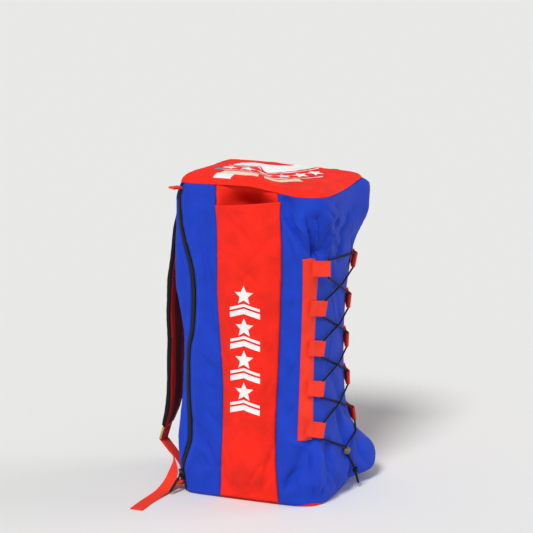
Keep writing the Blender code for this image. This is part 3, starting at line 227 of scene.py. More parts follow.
# The seams beside the middle of a side: height share, how far back and forward the side panel reaches and how
# far forward the lace strip starts, as shares of the depth
SEAMS = (
    (0.0, 0.243, 0.181, 0.322), (0.05, 0.235, 0.175, 0.32), (0.15, 0.226, 0.163, 0.317),
    (0.25, 0.219, 0.163, 0.317), (0.35, 0.217, 0.169, 0.322), (0.45, 0.226, 0.179, 0.327),
    (0.55, 0.242, 0.187, 0.333), (0.65, 0.256, 0.193, 0.34), (0.75, 0.252, 0.202, 0.346),
    (0.85, 0.251, 0.203, 0.349), (0.93, 0.256, 0.188, 0.35), (1.0, 0.262, 0.173, 0.35),
)

# How far the top seam sinks below the full height, at shares of the way round from the back centre by the
# left side, in shares of the height
RIM = (
    (0.0, 0.0), (0.13, 0.0), (0.25, 0.0), (0.29, 0.01), (0.34, 0.024), (0.385, 0.024), (0.5, 0.02),
    (0.61, 0.006), (0.75, 0.0), (1.0, 0.0),
)

# Folds, dents and bulges of each side: the two places that each runs between, spread and push. A place is how far
# forward it is from the middle of its side, as a share of the depth, and its height share. Spread and push are
# shares of the depth.
FOLDS = {
    "left": (
        (0.22, 0.985, 0.45, 0.82, 0.05, -0.03), (0.44, 0.93, 0.47, 0.83, 0.05, -0.056),
        (0.36, 0.93, 0.36, 0.88, 0.075, 0.03), (0.57, 0.94, 0.6, 0.88, 0.085, 0.034),
        (0.56, 0.97, 1.02, 0.92, 0.05, -0.018), (0.6, 0.9, 1.1, 0.83, 0.05, -0.026),
        (0.95, 0.9, 0.75, 0.79, 0.04, -0.03), (0.62, 0.76, 0.92, 0.54, 0.045, -0.016),
        (0.62, 0.43, 0.95, 0.25, 0.045, -0.016), (0.4, 0.22, 0.26, 0.06, 0.04, -0.024),
        (0.56, 0.19, 0.56, 0.06, 0.035, -0.022), (0.47, 0.15, 0.42, 0.07, 0.05, 0.02),
        (0.95, 0.18, 0.8, 0.04, 0.07, 0.028), (-0.36, 0.9, -0.3, 0.56, 0.045, -0.014),
        (-0.32, 0.42, -0.38, 0.1, 0.05, -0.014),
    ),
    "right": (
        (0.5, 0.985, 0.5, 0.92, 0.13, 0.066), (0.55, 0.83, 0.52, 0.76, 0.06, -0.026),
        (0.5, 0.095, 0.52, 0.05, 0.19, 0.15), (0.8, 0.27, 0.84, 0.06, 0.045, -0.034),
        (-0.34, 0.88, -0.3, 0.54, 0.045, -0.014),
    ),
}

# Height shares of the lacing's ends and of the sleeves' mouths
FRONT_RIM = BODY_HEIGHT * (1 - max(sink for _, sink in RIM))
LACE_LOW = (LACE_BOTTOM - BASE_RIM) / (FRONT_RIM - BASE_RIM)
LACE_HIGH = (LACE_TOP - BASE_RIM) / (FRONT_RIM - BASE_RIM)
MOUTH_SHARE = (SLEEVE_MOUTH - BASE_RIM) / (BODY_HEIGHT - BASE_RIM)

# The free end of each strap's webbing from the buckle down to the floor and out along it: across, out and up as
# shares of half the width and depth and of the height, and its turn from facing back to facing up
TAIL = (
    (0.622, 1.345, 0.108, 0.12), (0.69, 1.292, 0.08, 0.38), (0.79, 1.27, 0.052, 0.65),
    (0.92, 1.268, 0.029, 0.88), (1.12, 1.3, 0.01, 1.0), (1.35, 1.338, 0.0036, 1.0), (1.6, 1.362, 0.0022, 1.0),
    (1.944, 1.368, 0.0022, 1.0),
)
OUTLINE_STEPS = 180
FOLD_FADE = 0.018


def smooth_rows(rows, at):
    """A table's values at a place in its first column, on a smooth curve through the rows."""
    keys = [row[0] for row in rows]
    i = min(max(bisect.bisect_right(keys, at) - 1, 0), len(rows) - 2)
    low, high = rows[i], rows[i + 1]
    before, after = rows[max(i - 1, 0)], rows[min(i + 2, len(rows) - 1)]
    span = high[0] - low[0]
    t = min(max((at - low[0]) / span, 0.0), 1.0)
    values = []
    for column in range(1, len(low)):
        slope_low = (high[column] - before[column]) / (high[0] - before[0])
        slope_high = (after[column] - low[column]) / (after[0] - low[0])
        values.append(
            (2 * t**3 - 3 * t**2 + 1) * low[column]
            + (t**3 - 2 * t**2 + t) * span * slope_low
            + (3 * t**2 - 2 * t**3) * high[column]
            + (t**3 - t**2) * span * slope_high
        )
    return values


def ease(value):
    """0 up to 1, level at both ends."""
    value = min(max(value, 0.0), 1.0)
    return value * value * (3 - 2 * value)


@functools.lru_cache(maxsize=None)
def outline(height):
    """The body's plain outline at a height share, from the back centre by the left side, and its lengths."""
    back, front, bow, width, front_square, back_square = smooth_rows(SECTIONS, height)
    half_width = width * BODY_WIDTH / 2
    points = []
    for i in range(OUTLINE_STEPS + 1):
        turn = 2 * math.pi * i / OUTLINE_STEPS
        across, along = -math.sin(turn), math.cos(turn)
        reach = (back if along > 0 else front) * BODY_DEPTH / 2
        square = back_square if along > 0 else front_square
        radius = (abs(across / half_width) ** square + abs(along / reach) ** square) ** (-1 / square)
        x, y = radius * across, radius * along
        if along < 0:
            y -= bow * BODY_DEPTH / 2 * math.cos(math.pi / 2 * x / half_width)
        points.append((x, y))
    lengths = [0.0]
    for (x0, y0), (x1, y1) in zip(points, points[1:]):
        lengths.append(lengths[-1] + math.hypot(x1 - x0, y1 - y0))
    return points, lengths


def perimeter(height):
    return outline(height)[1][-1]


def side_middle(height, side):
    """Distance round to the middle of a side, where the outline crosses the plane between front and back."""
    quarter = outline(height)[1][OUTLINE_STEPS // 4]
    return quarter if side == "left" else perimeter(height) - quarter


def side_place(height, side, forward):
    """Distance round to a place that lies a length forward of the middle of a side."""
    turn = TURN[side]
    return side_middle(height, side) + turn * forward


def outline_point(around, height):
    points, lengths = outline(height)
    around = around % lengths[-1]
    i = min(max(bisect.bisect_right(lengths, around) - 1, 0), len(points) - 2)
    t = (around - lengths[i]) / (lengths[i + 1] - lengths[i])
    (x0, y0), (x1, y1) = points[i], points[i + 1]
    return x0 + (x1 - x0) * t, y0 + (y1 - y0) * t


def near_folds(table, around, height):
    """The folds near a place: each one's push, its distance in spreads and the nearest share of its length."""
    length = perimeter(height)
    for side, rows in table.items():
        along = TURN[side] * (around - side_middle(height, side))
        along = (along + length / 2) % length - length / 2
        for from_along, from_height, to_along, to_height, spread, push in rows:
            ax, az = from_along * BODY_DEPTH, from_height * BODY_HEIGHT
            dx, dz = to_along * BODY_DEPTH - ax, to_height * BODY_HEIGHT - az
            px, pz = along - ax, height * BODY_HEIGHT - az
            share = min(max((px * dx + pz * dz) / (dx * dx + dz * dz), 0.0), 1.0)
            away = math.hypot(px - share * dx, pz - share * dz) / (spread * BODY_DEPTH)
            if away < 3:
                yield push * BODY_DEPTH, away, share


def fold_push(around, height):
    """How far the folds, dents and bulges push the cloth out at a place."""
    place = around % perimeter(height)
    fade = 1.0
    for side in ("left", "right"):
        edges = panel_edges(height, side)
        beyond = min(abs(place - edge) for edge in edges)
        fade *= 0.0 if edges[0] <= place <= edges[1] else ease(beyond / FOLD_FADE)
    total = sum(push * math.exp(-away * away) for push, away, _ in near_folds(FOLDS, around, height))
    return total * fade * ease(height / 0.03) * ease(0.3 + (1 - height) * 35)


def seam_height(around, height):
    """Height of a place: rows follow the sunken top seam, and the laced front sags on its right."""
    length = perimeter(height)
    top = BODY_HEIGHT * (1 - smooth_rows(RIM, around % length / length)[0])
    level = BASE_RIM + height * (top - BASE_RIM)
    lace = lace_edge(height, "right", False)
    near_lace = math.exp(-(((around - lace + length / 2) % length - length / 2) / (0.32 * BODY_DEPTH)) ** 2)
    return level - LACE_SAG * near_lace * ease(height / 0.22) * ease((1 - height) / 0.2)


def cloth(around, height):
    """A point of the body's outer surface."""
    x, y = outline_point(around, height)
    x0, y0 = outline_point(around - 0.006, height)
    x1, y1 = outline_point(around + 0.006, height)
    run = math.hypot(x1 - x0, y1 - y0)
    push = fold_push(around, height)
    return Vector((x - (y1 - y0) / run * -push, y - (x1 - x0) / run * push, seam_height(around, height)))


def cloth_axes(around, height):
    """Unit directions at a place of the surface: round the body, up it, and out of it."""
    low, high = max(height - 0.006, 0.0), min(height + 0.006, 1.0)
    drift = (side_middle(high, "left") - side_middle(low, "left")) / 2
    round_axis = (cloth(around + 0.004, height) - cloth(around - 0.004, height)).normalized()
    up_axis = (cloth(around + drift, high) - cloth(around - drift, low)).normalized()
    out_axis = round_axis.cross(up_axis)
    if height in (0.0, 1.0):
        out_axis.z = 0
    out_axis.normalize()
    return round_axis, up_axis, out_axis


def skin(around, height, lift=0.0):
    """A point a length outside the body's surface."""
    return cloth(around, height) + cloth_axes(around, height)[2] * lift


def zip_place(height):
    return side_place(height, "left", -smooth_rows(ZIP_PATH, height)[0] * BODY_DEPTH)


def side_edge(height, side, front):
    """Distance round to the front or back edge of a side panel."""
    back_share, front_share, _ = smooth_rows(SEAMS, height)
    return side_place(height, side, (front_share if front else -back_share) * BODY_DEPTH)


def panel_edges(height, side):
    """Both edges of a side panel, in order round the body."""
    return sorted((side_edge(height, side, False), side_edge(height, side, True)))


def lace_edge(height, side, inner):
    forward = smooth_rows(SEAMS, height)[2] * BODY_DEPTH + (WEBBING if inner else 0.0)
    return side_place(height, side, forward)


def bat_room(around, height, side):
    """How far open a sleeve's room is at a place of a side panel, from 0 to 1."""
    back, front = side_edge(height, side, False), side_edge(height, side, True)
    share = (2 * around - back - front) / (front - back)
    return max(0.0, 1 - share * share)


def dent(around, height, side):
    room = bat_room(around, height, side) ** 2
    return BAT_DENT * room * ease((height - 0.01) / 0.07) * (0.26 + 0.74 * ease((1 - height) / 0.06))


def bulge(around, height, side):
    room = bat_room(around, height, side) ** 1.2
    return SLEEVE_BULGE * room * ease((height - 0.005) / 0.10) * (0.66 + 0.34 * ease((1 - height) / 0.25))


def mouth_level(around, side):
    """How high a sleeve's mouth is: it slopes up to the front."""
    turn = TURN[side]
    return SLEEVE_MOUTH + MOUTH_TILT * turn * (around - side_middle(MOUTH_SHARE, side))


def level_share(around, level):
    """The height share at which the cloth reaches a level."""
    share = level / BODY_HEIGHT
    for _ in range(4):
        share += (level - seam_height(around, share)) / BODY_HEIGHT
    return share


class Frame:
    """A place with three unit axes, for pieces that are drawn flat and set on the cloth."""

    def __init__(self, origin, along, up, out):
        self.origin, self.along, self.up, self.out = origin, along, up, out

    def point(self, along, up, out):
        return self.origin + self.along * along + self.up * up + self.out * out


def cloth_frame(around, height, lift):
    return Frame(skin(around, height, lift), *cloth_axes(around, height))


def squared(frame):
    """The same frame with its up direction at right angles to the other two."""
    return Frame(frame.origin, frame.along, frame.out.cross(frame.along).normalized(), frame.out)


def loop_height(index):
    """Height share of a lace loop's middle, the first at the top of its strip."""
    inset = 0.7 * WEBBING / (LACE_TOP - LACE_BOTTOM) * (LACE_HIGH - LACE_LOW)
    return LACE_HIGH - inset - (LACE_HIGH - LACE_LOW - 2 * inset) * index / (LOOP_COUNT - 1)


def loop_frame(index, side):
    """A loop's frame: along from the strip's inner edge towards the front's middle, out of the cloth."""
    height = loop_height(index)
    turn = TURN[side]
    edge = lace_edge(height, side, True)
    span = WEBBING / BODY_HEIGHT
    above = skin(lace_edge(height + span, side, True), height + span)
    up = (above - skin(lace_edge(height - span, side, True), height - span)).normalized()
    near = skin(edge - turn * LOOP_OVERLAP, height)
    far = skin(edge + turn * LOOP_REACH, height)
    along = far - near
    along = (along - up * along.dot(up)).normalized()
    out = along.cross(up).normalized() * turn
    tilt = math.radians(LOOP_TILT)
    along, up = along * math.cos(tilt) - up * math.sin(tilt), up * math.cos(tilt) + along * math.sin(tilt)
    top = max(
        (skin(edge + turn * share * LOOP_REACH, height + rise) - near).dot(out)
        + (WEBBING_WALL + LAY_GAP if share <= 0 else 0.0)
        for share in (-0.55, -0.25, 0.0, 0.2, 0.4, 0.6, 0.8, 1.0)
        for rise in (-0.024, -0.012, 0.0, 0.012, 0.024)
    )
    origin = skin(edge, height)
    origin += out * (top + 1.5 * LAY_GAP - (origin - near).dot(out))
    return Frame(origin, along, up, out)


def loop_eye():
    """Where the cord runs through a loop: how far along it and how far out."""
    radius = LOOP_EYE / 2 + WEBBING_WALL
    return LOOP_REACH - radius, radius


def smooth_curve(points, parts):
    """Points on a smooth curve through a route's own points, a number of parts to each of its stretches."""
    made = []
    for i in range(len(points) - 1):
        p0, p1 = points[max(i - 1, 0)], points[i]
        p2, p3 = points[i + 1], points[min(i + 2, len(points) - 1)]
        for k in range(parts):
            t = k / parts
            straight = 2 * p1 + (p2 - p0) * t
            bend = (2 * p0 - 5 * p1 + 4 * p2 - p3) * t * t + (3 * p1 - p0 - 3 * p2 + p3) * t**3
            made.append((straight + bend) / 2)
    made.append(points[-1])
    return made


def lock_place():
    return perimeter(LOCK_SHARE) / 2 + LOCK_ACROSS * BODY_WIDTH


def lock_lift():
    """How far out of the cloth the lock's middle is, clear of the cloth all along the lock."""
    place = lock_place()
    here = cloth(place, LOCK_SHARE)
    out = cloth_axes(place, LOCK_SHARE)[2]
    long, tall = LOCK_LENGTH / 2, LOCK_DIAMETER / 2 / BODY_HEIGHT
    beside = [(a * long, u * tall) for a in (-1, 0, 1, 1.8) for u in (-1, 0, 1)]
    rise = max((cloth(place + a, LOCK_SHARE + u) - here).dot(out) for a, u in beside)
    return LOCK_DIAMETER / 2 + 2 * LAY_GAP + max(rise, 0.0)


def lock_frame():
    """The cord lock's frame: along its button's travel to the right, up the cords, out of the cloth."""
    return squared(cloth_frame(lock_place(), LOCK_SHARE, lock_lift()))


def clear_of_cloth(around, height, lift):
    """A point over the cloth, lifted over whatever stands up close beside it."""
    here = cloth(around, height)
    out = cloth_axes(around, height)[2]
    reach = 3 * CORD_DIAMETER
    beside = [(0.0, 0.0)]
    beside += [(a * reach, u * reach / BODY_HEIGHT) for a in (-1, 0, 1) for u in (-1, 0, 1)]
    rise = max((cloth(around + a, height + u) - here).dot(out) for a, u in beside)
    return here + out * (lift + rise)


def seat_under(point, around, height):
    """The place of the cloth under a point, looked for from a place near it, and the point's lift."""
    for _ in range(6):
        round_axis, up_axis, out_axis = cloth_axes(around, height)
        off = point - skin(around, height)
        around += off.dot(round_axis)
        height += off.dot(up_axis) / BODY_HEIGHT
    return around, height, off.dot(out_axis)


def kept_clear(point, around, height, lift):
    """A point near a place of the cloth, moved out where it would be less than a lift clear."""
    around, height, _ = seat_under(point, around, height)
    out = cloth_axes(around, height)[2]
    return point + out * max((clear_of_cloth(around, height, lift) - point).dot(out), 0.0)


def strap_row(height, side):
    """A shoulder strap at a height share: its middle on its inner face, its width and its thickness."""
    clear, across, width, thickness = smooth_rows(STRAP_PATH, height)
    turn = -TURN[side]
    x = turn * across * BODY_WIDTH
    around = -x if side == "left" else perimeter(height) - x
    y = max(cloth(around + w * STRAP_WIDTH, height).y for w in (-0.45, 0.0, 0.45))
    inner = Vector((x, y + LAY_GAP + clear * BODY_DEPTH, height * BODY_HEIGHT))
    return inner, width * STRAP_WIDTH, thickness * STRAP_THICKNESS


def buckle_frame(side):
    """The buckle's frame just below the strap: along across it, up in its plane, out of its face."""
    end, _, thickness = strap_row(STRAP_LOW, side)
    above = strap_row(STRAP_LOW + 0.03, side)[0]
    up = (above - end)
    up.x = 0
    up.normalize()
    out = Vector((0, up.z, -up.y))
    origin = end + out * (thickness / 2) - up * (BUCKLE_HEIGHT / 2 + LINK_LENGTH)
    return Frame(origin, Vector((1, 0, 0)), up, out)


# Folds too fine for the solids, in the same columns as FOLDS
FINE_FOLDS = {
    "left": (
        (0.37, 0.955, 0.448, 0.79, 0.02, -0.04), (0.425, 0.945, 0.492, 0.795, 0.022, 0.03),
        (0.53, 0.9, 0.53, 0.8, 0.018, -0.018), (0.2, 0.955, 0.425, 0.8, 0.022, -0.03),
        (0.27, 0.95, 0.44, 0.84, 0.02, 0.02), (0.24, 0.93, 0.33, 0.85, 0.022, -0.016),
        (0.3, 0.96, 0.345, 0.88, 0.026, 0.012), (0.54, 0.88, 0.76, 0.815, 0.02, -0.028),
        (0.5, 0.965, 0.66, 0.905, 0.02, -0.026), (0.62, 0.96, 0.74, 0.9, 0.02, 0.02),
        (0.66, 0.985, 0.7, 0.86, 0.024, -0.014), (0.58, 0.84, 0.56, 0.77, 0.02, -0.014),
        (-0.37, 0.19, -0.262, 0.085, 0.018, -0.028), (-0.35, 0.275, -0.262, 0.232, 0.018, -0.01),
        (-0.35, 0.36, -0.252, 0.338, 0.018, -0.009), (-0.3, 0.545, -0.25, 0.52, 0.016, -0.009),
        (0.398, 0.2, 0.43, 0.01, 0.018, -0.03), (0.45, 0.18, 0.47, 0.02, 0.02, 0.016),
        (0.22, 0.04, 0.33, 0.095, 0.024, -0.014), (0.24, 0.215, 0.39, 0.185, 0.022, 0.012),
        (0.5, 0.19, 0.64, 0.09, 0.024, -0.016), (0.56, 0.11, 0.7, 0.02, 0.026, -0.016),
        (0.345, 0.13, 0.235, 0.068, 0.02, -0.018), (0.41, 0.15, 0.42, 0.02, 0.016, 0.016),
        (0.3, 0.08, 0.33, 0.012, 0.018, -0.014), (0.5, 0.06, 0.47, 0.01, 0.018, -0.014),
        (-0.42, 0.14, -0.29, 0.075, 0.018, -0.012), (-0.46, 0.245, -0.3, 0.175, 0.018, -0.01),
        (-0.4, 0.47, -0.27, 0.4, 0.018, -0.011), (-0.33, 0.76, -0.265, 0.64, 0.02, -0.01),
        (-0.36, 0.86, -0.33, 0.7, 0.016, -0.009), (0.215, 0.9, 0.33, 0.76, 0.018, -0.014),
        (0.215, 0.96, 0.36, 0.87, 0.016, -0.012), (0.3, 0.69, 0.235, 0.6, 0.018, -0.008),
        (0.31, 0.47, 0.23, 0.4, 0.018, -0.009), (0.3, 0.33, 0.22, 0.27, 0.018, -0.008),
        (0.52, 0.9, 0.5, 0.8, 0.018, -0.016), (0.7, 0.96, 0.66, 0.82, 0.018, -0.012),
        (0.86, 0.93, 0.8, 0.8, 0.018, -0.012), (0.62, 0.7, 0.76, 0.56, 0.016, -0.01),
        (0.7, 0.56, 0.64, 0.43, 0.016, 0.009), (0.78, 0.22, 0.84, 0.04, 0.014, 0.014),
        (0.96, 0.16, 1.06, 0.05, 0.02, -0.014), (-0.62, 0.9, -0.9, 0.78, 0.024, -0.012),
        (-0.65, 0.3, -0.95, 0.14, 0.024, -0.014), (-0.62, 0.12, -0.8, 0.04, 0.024, -0.012),
    ),
    "right": (
        (0.42, 0.2, 0.3, 0.07, 0.02, -0.014), (0.3, 0.9, 0.42, 0.78, 0.02, -0.014),
        (-0.33, 0.5, -0.42, 0.38, 0.02, -0.01), (-0.42, 0.2, -0.3, 0.08, 0.02, -0.012),
    ),
}
# The same on the red sleeves
SLEEVE_FOLDS = {
    "left": (
        (-0.215, 0.095, -0.165, 0.004, 0.02, -0.016), (0.158, 0.205, 0.075, 0.045, 0.022, -0.018),
        (0.02, 0.88, 0.12, 0.79, 0.022, -0.012), (-0.06, 0.905, -0.035, 0.83, 0.02, -0.01),
        (0.03, 0.76, -0.08, 0.69, 0.022, -0.011), (-0.14, 0.13, -0.04, 0.01, 0.02, 0.01),
        (-0.12, 0.075, -0.15, 0.012, 0.016, -0.012), (0.08, 0.13, -0.03, 0.045, 0.018, -0.014),
        (-0.19, 0.16, -0.07, 0.06, 0.02, -0.01), (0.15, 0.11, 0.06, 0.02, 0.016, -0.012),
        (-0.04, 0.06, 0.01, 0.012, 0.018, -0.012), (-0.15, 0.9, 0.02, 0.83, 0.024, -0.009),
        (0.14, 0.86, -0.02, 0.76, 0.024, -0.009), (-0.08, 0.76, 0.1, 0.7, 0.024, -0.007),
        (-0.2, 0.62, -0.14, 0.54, 0.018, -0.008), (-0.21, 0.48, -0.15, 0.42, 0.018, -0.008),
        (0.15, 0.42, 0.09, 0.35, 0.018, -0.007),
    ),
    "right": (
        (0.08, 0.13, -0.03, 0.045, 0.018, -0.014), (-0.15, 0.9, 0.02, 0.83, 0.024, -0.009),
        (0.14, 0.5, 0.06, 0.42, 0.02, -0.008),
    ),
}


# Materials


def new_material(name, roughness, metallic=0.0):
    made = bpy.data.materials.new(name)
    made.use_nodes = True
    shader = made.node_tree.nodes["Principled BSDF"]
    shader.inputs["Roughness"].default_value = roughness
    shader.inputs["Metallic"].default_value = metallic
    return made, shader


def add_node(made, kind, inputs=(), **settings):
    """A node with its settings, each input a value or another node's output."""
    node = made.node_tree.nodes.new("ShaderNode" + kind)
    for key, value in settings.items():
        setattr(node, key, value)
    for key, value in dict(inputs).items():
        if isinstance(value, bpy.types.NodeSocket):
            made.node_tree.links.new(value, node.inputs[key])
        else:
            node.inputs[key].default_value = value
    return node


def maths(made, operation, first, second=0.0):
    return add_node(made, "Math", {0: first, 1: second}, operation=operation).outputs[0]


def shades(made, place, colour, spread, scale, detail=4.0):
    """A colour that wanders between a darker and a lighter shade of itself."""
    cloud = add_node(made, "TexNoise", {"Vector": place, "Scale": scale, "Detail": detail})
    ramp = add_node(made, "ValToRGB", {"Fac": cloud.outputs["Fac"]})
    dark, light = ramp.color_ramp.elements
    dark.position, light.position = 0.35, 0.65
    dark.color = (*[c * (1 - spread) for c in colour], 1.0)
    light.color = (*[min(c * (1 + spread), 1.0) for c in colour], 1.0)
    return ramp.outputs["Color"]


def colour_with(made, shader, output):
    made.node_tree.links.new(output, shader.inputs["Base Color"])


def add_bumps(made, shader, bumps):
    """A chain of bumps, each a height output, a strength and a distance."""
    normal = None
    for height, strength, distance in bumps:
        inputs = {"Height": height, "Strength": strength, "Distance": distance}
        if normal is not None:
            inputs["Normal"] = normal
        normal = add_node(made, "Bump", inputs).outputs["Normal"]
    made.node_tree.links.new(normal, shader.inputs["Normal"])


def cloth_look(name, colour, pitch=0.0008, ribs=1.0, roughness=0.74, spread=0.09, sheen=0.03):
    """Woven cloth: threads along and across the piece, uneven dye and small creases."""
    made, shader = new_material(name, roughness)
    own = add_node(made, "TexCoord").outputs["Object"]
    weave = add_node(made, "Attribute", attribute_name="weave").outputs["Vector"]
    parts = add_node(made, "SeparateXYZ", {"Vector": weave}).outputs
    turn = 2 * math.pi / pitch
    warp = maths(made, "SINE", maths(made, "MULTIPLY", parts["X"], turn))
    weft = maths(made, "SINE", maths(made, "MULTIPLY", parts["Y"], turn * ribs))
    threads = maths(made, "MULTIPLY", warp, weft)
    crease = add_node(made, "TexNoise", {"Vector": own, "Scale": 150.0, "Detail": 6.0, "Roughness": 0.62})
    colour_out = shades(made, own, colour, spread, 24.0)
    grain = add_node(made, "MapRange", {"Value": threads, "From Min": -1.0, "To Min": 0.90, "To Max": 1.06})
    tint = add_node(made, "VectorMath", {0: colour_out, "Scale": grain.outputs["Result"]}, operation="SCALE")
    colour_with(made, shader, tint.outputs["Vector"])
    shader.inputs["Sheen Weight"].default_value = sheen
    shader.inputs["Sheen Roughness"].default_value = 0.4
    shader.inputs["Specular IOR Level"].default_value = 0.22
    add_bumps(made, shader, ((threads, 0.35, pitch * 0.22), (crease.outputs["Fac"], 0.30, 0.0012)))
    return made


def cord_look(name, colour):
    """A braided cord: small slanting plaits."""
    made, shader = new_material(name, 0.62)
    own = add_node(made, "TexCoord").outputs["Object"]
    plait = add_node(made, "TexVoronoi", {"Vector": own, "Scale": 900.0})
    colour_with(made, shader, shades(made, own, colour, 0.45, 700.0, 2.0))
    add_bumps(made, shader, ((plait.outputs["Distance"], 0.6, 0.0004),))
    shader.inputs["Specular IOR Level"].default_value = 0.15
    return made


def hard_look(name, colour, roughness, metallic, wear=0.18):
    """Moulded or cast stuff with faint mottling and scuffs in its gloss."""
    made, shader = new_material(name, roughness, metallic)
    own = add_node(made, "TexCoord").outputs["Object"]
    colour_with(made, shader, shades(made, own, colour, wear, 320.0))
    scuff = add_node(made, "TexNoise", {"Vector": own, "Scale": 900.0, "Detail": 5.0})
    gloss = add_node(made, "MapRange", {"Value": scuff.outputs["Fac"]})
    gloss.inputs["To Min"].default_value = max(roughness - 0.12, 0.05)
    gloss.inputs["To Max"].default_value = roughness + 0.15
    made.node_tree.links.new(gloss.outputs["Result"], shader.inputs["Roughness"])
    add_bumps(made, shader, ((scuff.outputs["Fac"], 0.12, 0.0002),))
    return made


def print_look(name, colour):
    """Screen print on cloth: flat ink with the weave faintly through it."""
    made, shader = new_material(name, 0.6)
    own = add_node(made, "TexCoord").outputs["Object"]
    colour_with(made, shader, shades(made, own, colour, 0.05, 60.0))
    tooth = add_node(made, "TexNoise", {"Vector": own, "Scale": 1200.0, "Detail": 3.0})
    add_bumps(made, shader, ((tooth.outputs["Fac"], 0.25, 0.0002),))
    return made


LOOKS = {
    "blue_cloth": cloth_look("blue_cloth_woven", (0.0075, 0.047, 0.520)),
    "red_cloth": cloth_look("red_cloth_woven", (0.920, 0.018, 0.0065)),
    "red_webbing": cloth_look("red_webbing_woven", (0.930, 0.040, 0.016), 0.0019, 0.55, 0.66),
    "red_lining": cloth_look("strap_lining_woven", (0.850, 0.016, 0.008), 0.0014),
    # A darker copy of the strap lining's red: painted shade for the strap's shaded inner face
    "lining_painted_shade": cloth_look("strap_lining_painted_shade_woven", (0.230, 0.006, 0.006), 0.0014),
    "black_padding": cloth_look("black_padding_woven", (0.006, 0.0055, 0.0065), 0.0013, 1.0, 0.8, 0.2),
    "black_zip": cloth_look("black_zip_tape", (0.006, 0.006, 0.007), 0.0009, 0.6, 0.6, 0.2),
    "black_teeth": hard_look("black_zip_teeth", (0.016, 0.016, 0.018), 0.32, 0.0),
    "black_cord": cord_look("black_cord_braided", (0.005, 0.005, 0.006)),
    "black_metal": hard_look("black_metal_enamel", (0.030, 0.030, 0.033), 0.32, 0.75),
    "brass": hard_look("brass_satin", (0.62, 0.42, 0.13), 0.30, 1.0),
    "olive_plastic": hard_look("olive_plastic_moulded", (0.165, 0.125, 0.055), 0.38, 0.25),
    "white_print": print_look("white_print_ink", (0.86, 0.85, 0.84)),
    "cream_print": print_look("cream_print_ink", (0.86, 0.66, 0.50)),
    "grey_print": print_look("grey_print_ink", (0.10, 0.17, 0.23)),
    "blue_thread": print_look("blue_stitch_thread", (0.020, 0.110, 0.720)),
    "red_thread": print_look("red_stitch_thread", (0.720, 0.016, 0.008)),
    "black_thread": print_look("black_stitch_thread", (0.010, 0.010, 0.012)),
}


# Building pieces


def add_piece(name, vertices, faces, look, weave=None, body="bag", nodes=(), slot=None):
    """A piece of the bag from points in its frame, riding on a body, in place of the nodes that it shows."""
    mesh = bpy.data.meshes.new(name)
    mesh.from_pydata([tuple(v) for v in vertices], [], faces)
    mesh.materials.append(LOOKS[look])
    if weave:
        threads = mesh.attributes.new("weave", "FLOAT_VECTOR", "POINT")
        threads.data.foreach_set("vector", [c for spot in weave for c in (spot[0], spot[1], 0.0)])
    mesh.shade_smooth()
    mesh.set_sharp_from_angle(angle=math.radians(55))
    return dress(new_object(name, mesh), body, nodes, slot or look)


def new_object(name, data):
    item = bpy.data.objects.new(name, data)
    bpy.context.scene.collection.objects.link(item)
    return item


def dress(item, body, nodes, slot):
    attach(item, body)
    if nodes:
        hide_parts(*nodes)
    return item


def grid_faces(rows, columns, around=False):
    faces = []
    for r in range(rows - 1):
        for c in range(columns if around else columns - 1):
            a, b = r * columns + c, r * columns + (c + 1) % columns
            faces.append((a, b, b + columns, a + columns))
    return faces


def thicken(item, wall):
    """Give a sheet its thickness inward."""
    shell = item.modifiers.new("wall", "SOLIDIFY")
    shell.thickness = wall
    shell.offset = -1.0
    return item


def add_rings_piece(name, rings, look, weave, body="bag", nodes=(), slot=None):
    """A closed piece through matching rings of points."""
    count = len(rings[0])
    vertices = [point for ring in rings for point in ring]
    faces = grid_faces(len(rings), count, True)
    faces.append(tuple(range(count))[::-1])
    faces.append(tuple(range((len(rings) - 1) * count, len(rings) * count)))
    return face_outward(add_piece(name, vertices, faces, look, weave, body, nodes, slot))


def face_outward(item):
    work = bmesh.new()
    work.from_mesh(item.data)
    bmesh.ops.recalc_face_normals(work, faces=work.faces[:])
    work.to_mesh(item.data)
    work.free()
    return item


RIBBON_SECTION = (
    (-0.50, -0.22), (-0.488, -0.44), (-0.45, -0.50), (-0.15, -0.46), (0.15, -0.46), (0.45, -0.50),
    (0.488, -0.44), (0.50, -0.22), (0.50, 0.22), (0.488, 0.44), (0.45, 0.50), (0.15, 0.46),
    (-0.15, 0.46), (-0.45, 0.50), (-0.488, 0.44), (-0.50, 0.22),
)


def add_ribbon(name, path, width, thick, look, body="bag", nodes=(), slot=None):
    """Webbing along a path of centre points, each with its unit directions across and out of its face."""
    rings, weave, run = [], [], 0.0
    for i, (centre, wide, face) in enumerate(path):
        run += (centre - path[max(i - 1, 0)][0]).length
        rings.append([centre + wide * (s * width) + face * (t * thick) for s, t in RIBBON_SECTION])
        weave += [(s * width, run) for s, _ in RIBBON_SECTION]
    return add_rings_piece(name, rings, look, weave, body, nodes, slot)


def add_tube(name, points, diameter, look, body="bag", nodes=(), slot=None):
    """A round cord as a smooth curve of one open spline."""
    curve = bpy.data.curves.new(name, "CURVE")
    curve.dimensions = "3D"
    curve.bevel_depth = diameter / 2
    curve.bevel_resolution = 4
    curve.use_fill_caps = True
    spline = curve.splines.new("POLY")
    spline.points.add(len(points) - 1)
    for spot, point in zip(spline.points, points):
        spot.co = (*point, 1.0)
    curve.materials.append(LOOKS[look])
    return dress(new_object(name, curve), body, nodes, slot or look)


def run_length(points):
    return sum((b - a).length for a, b in zip(points, points[1:]))


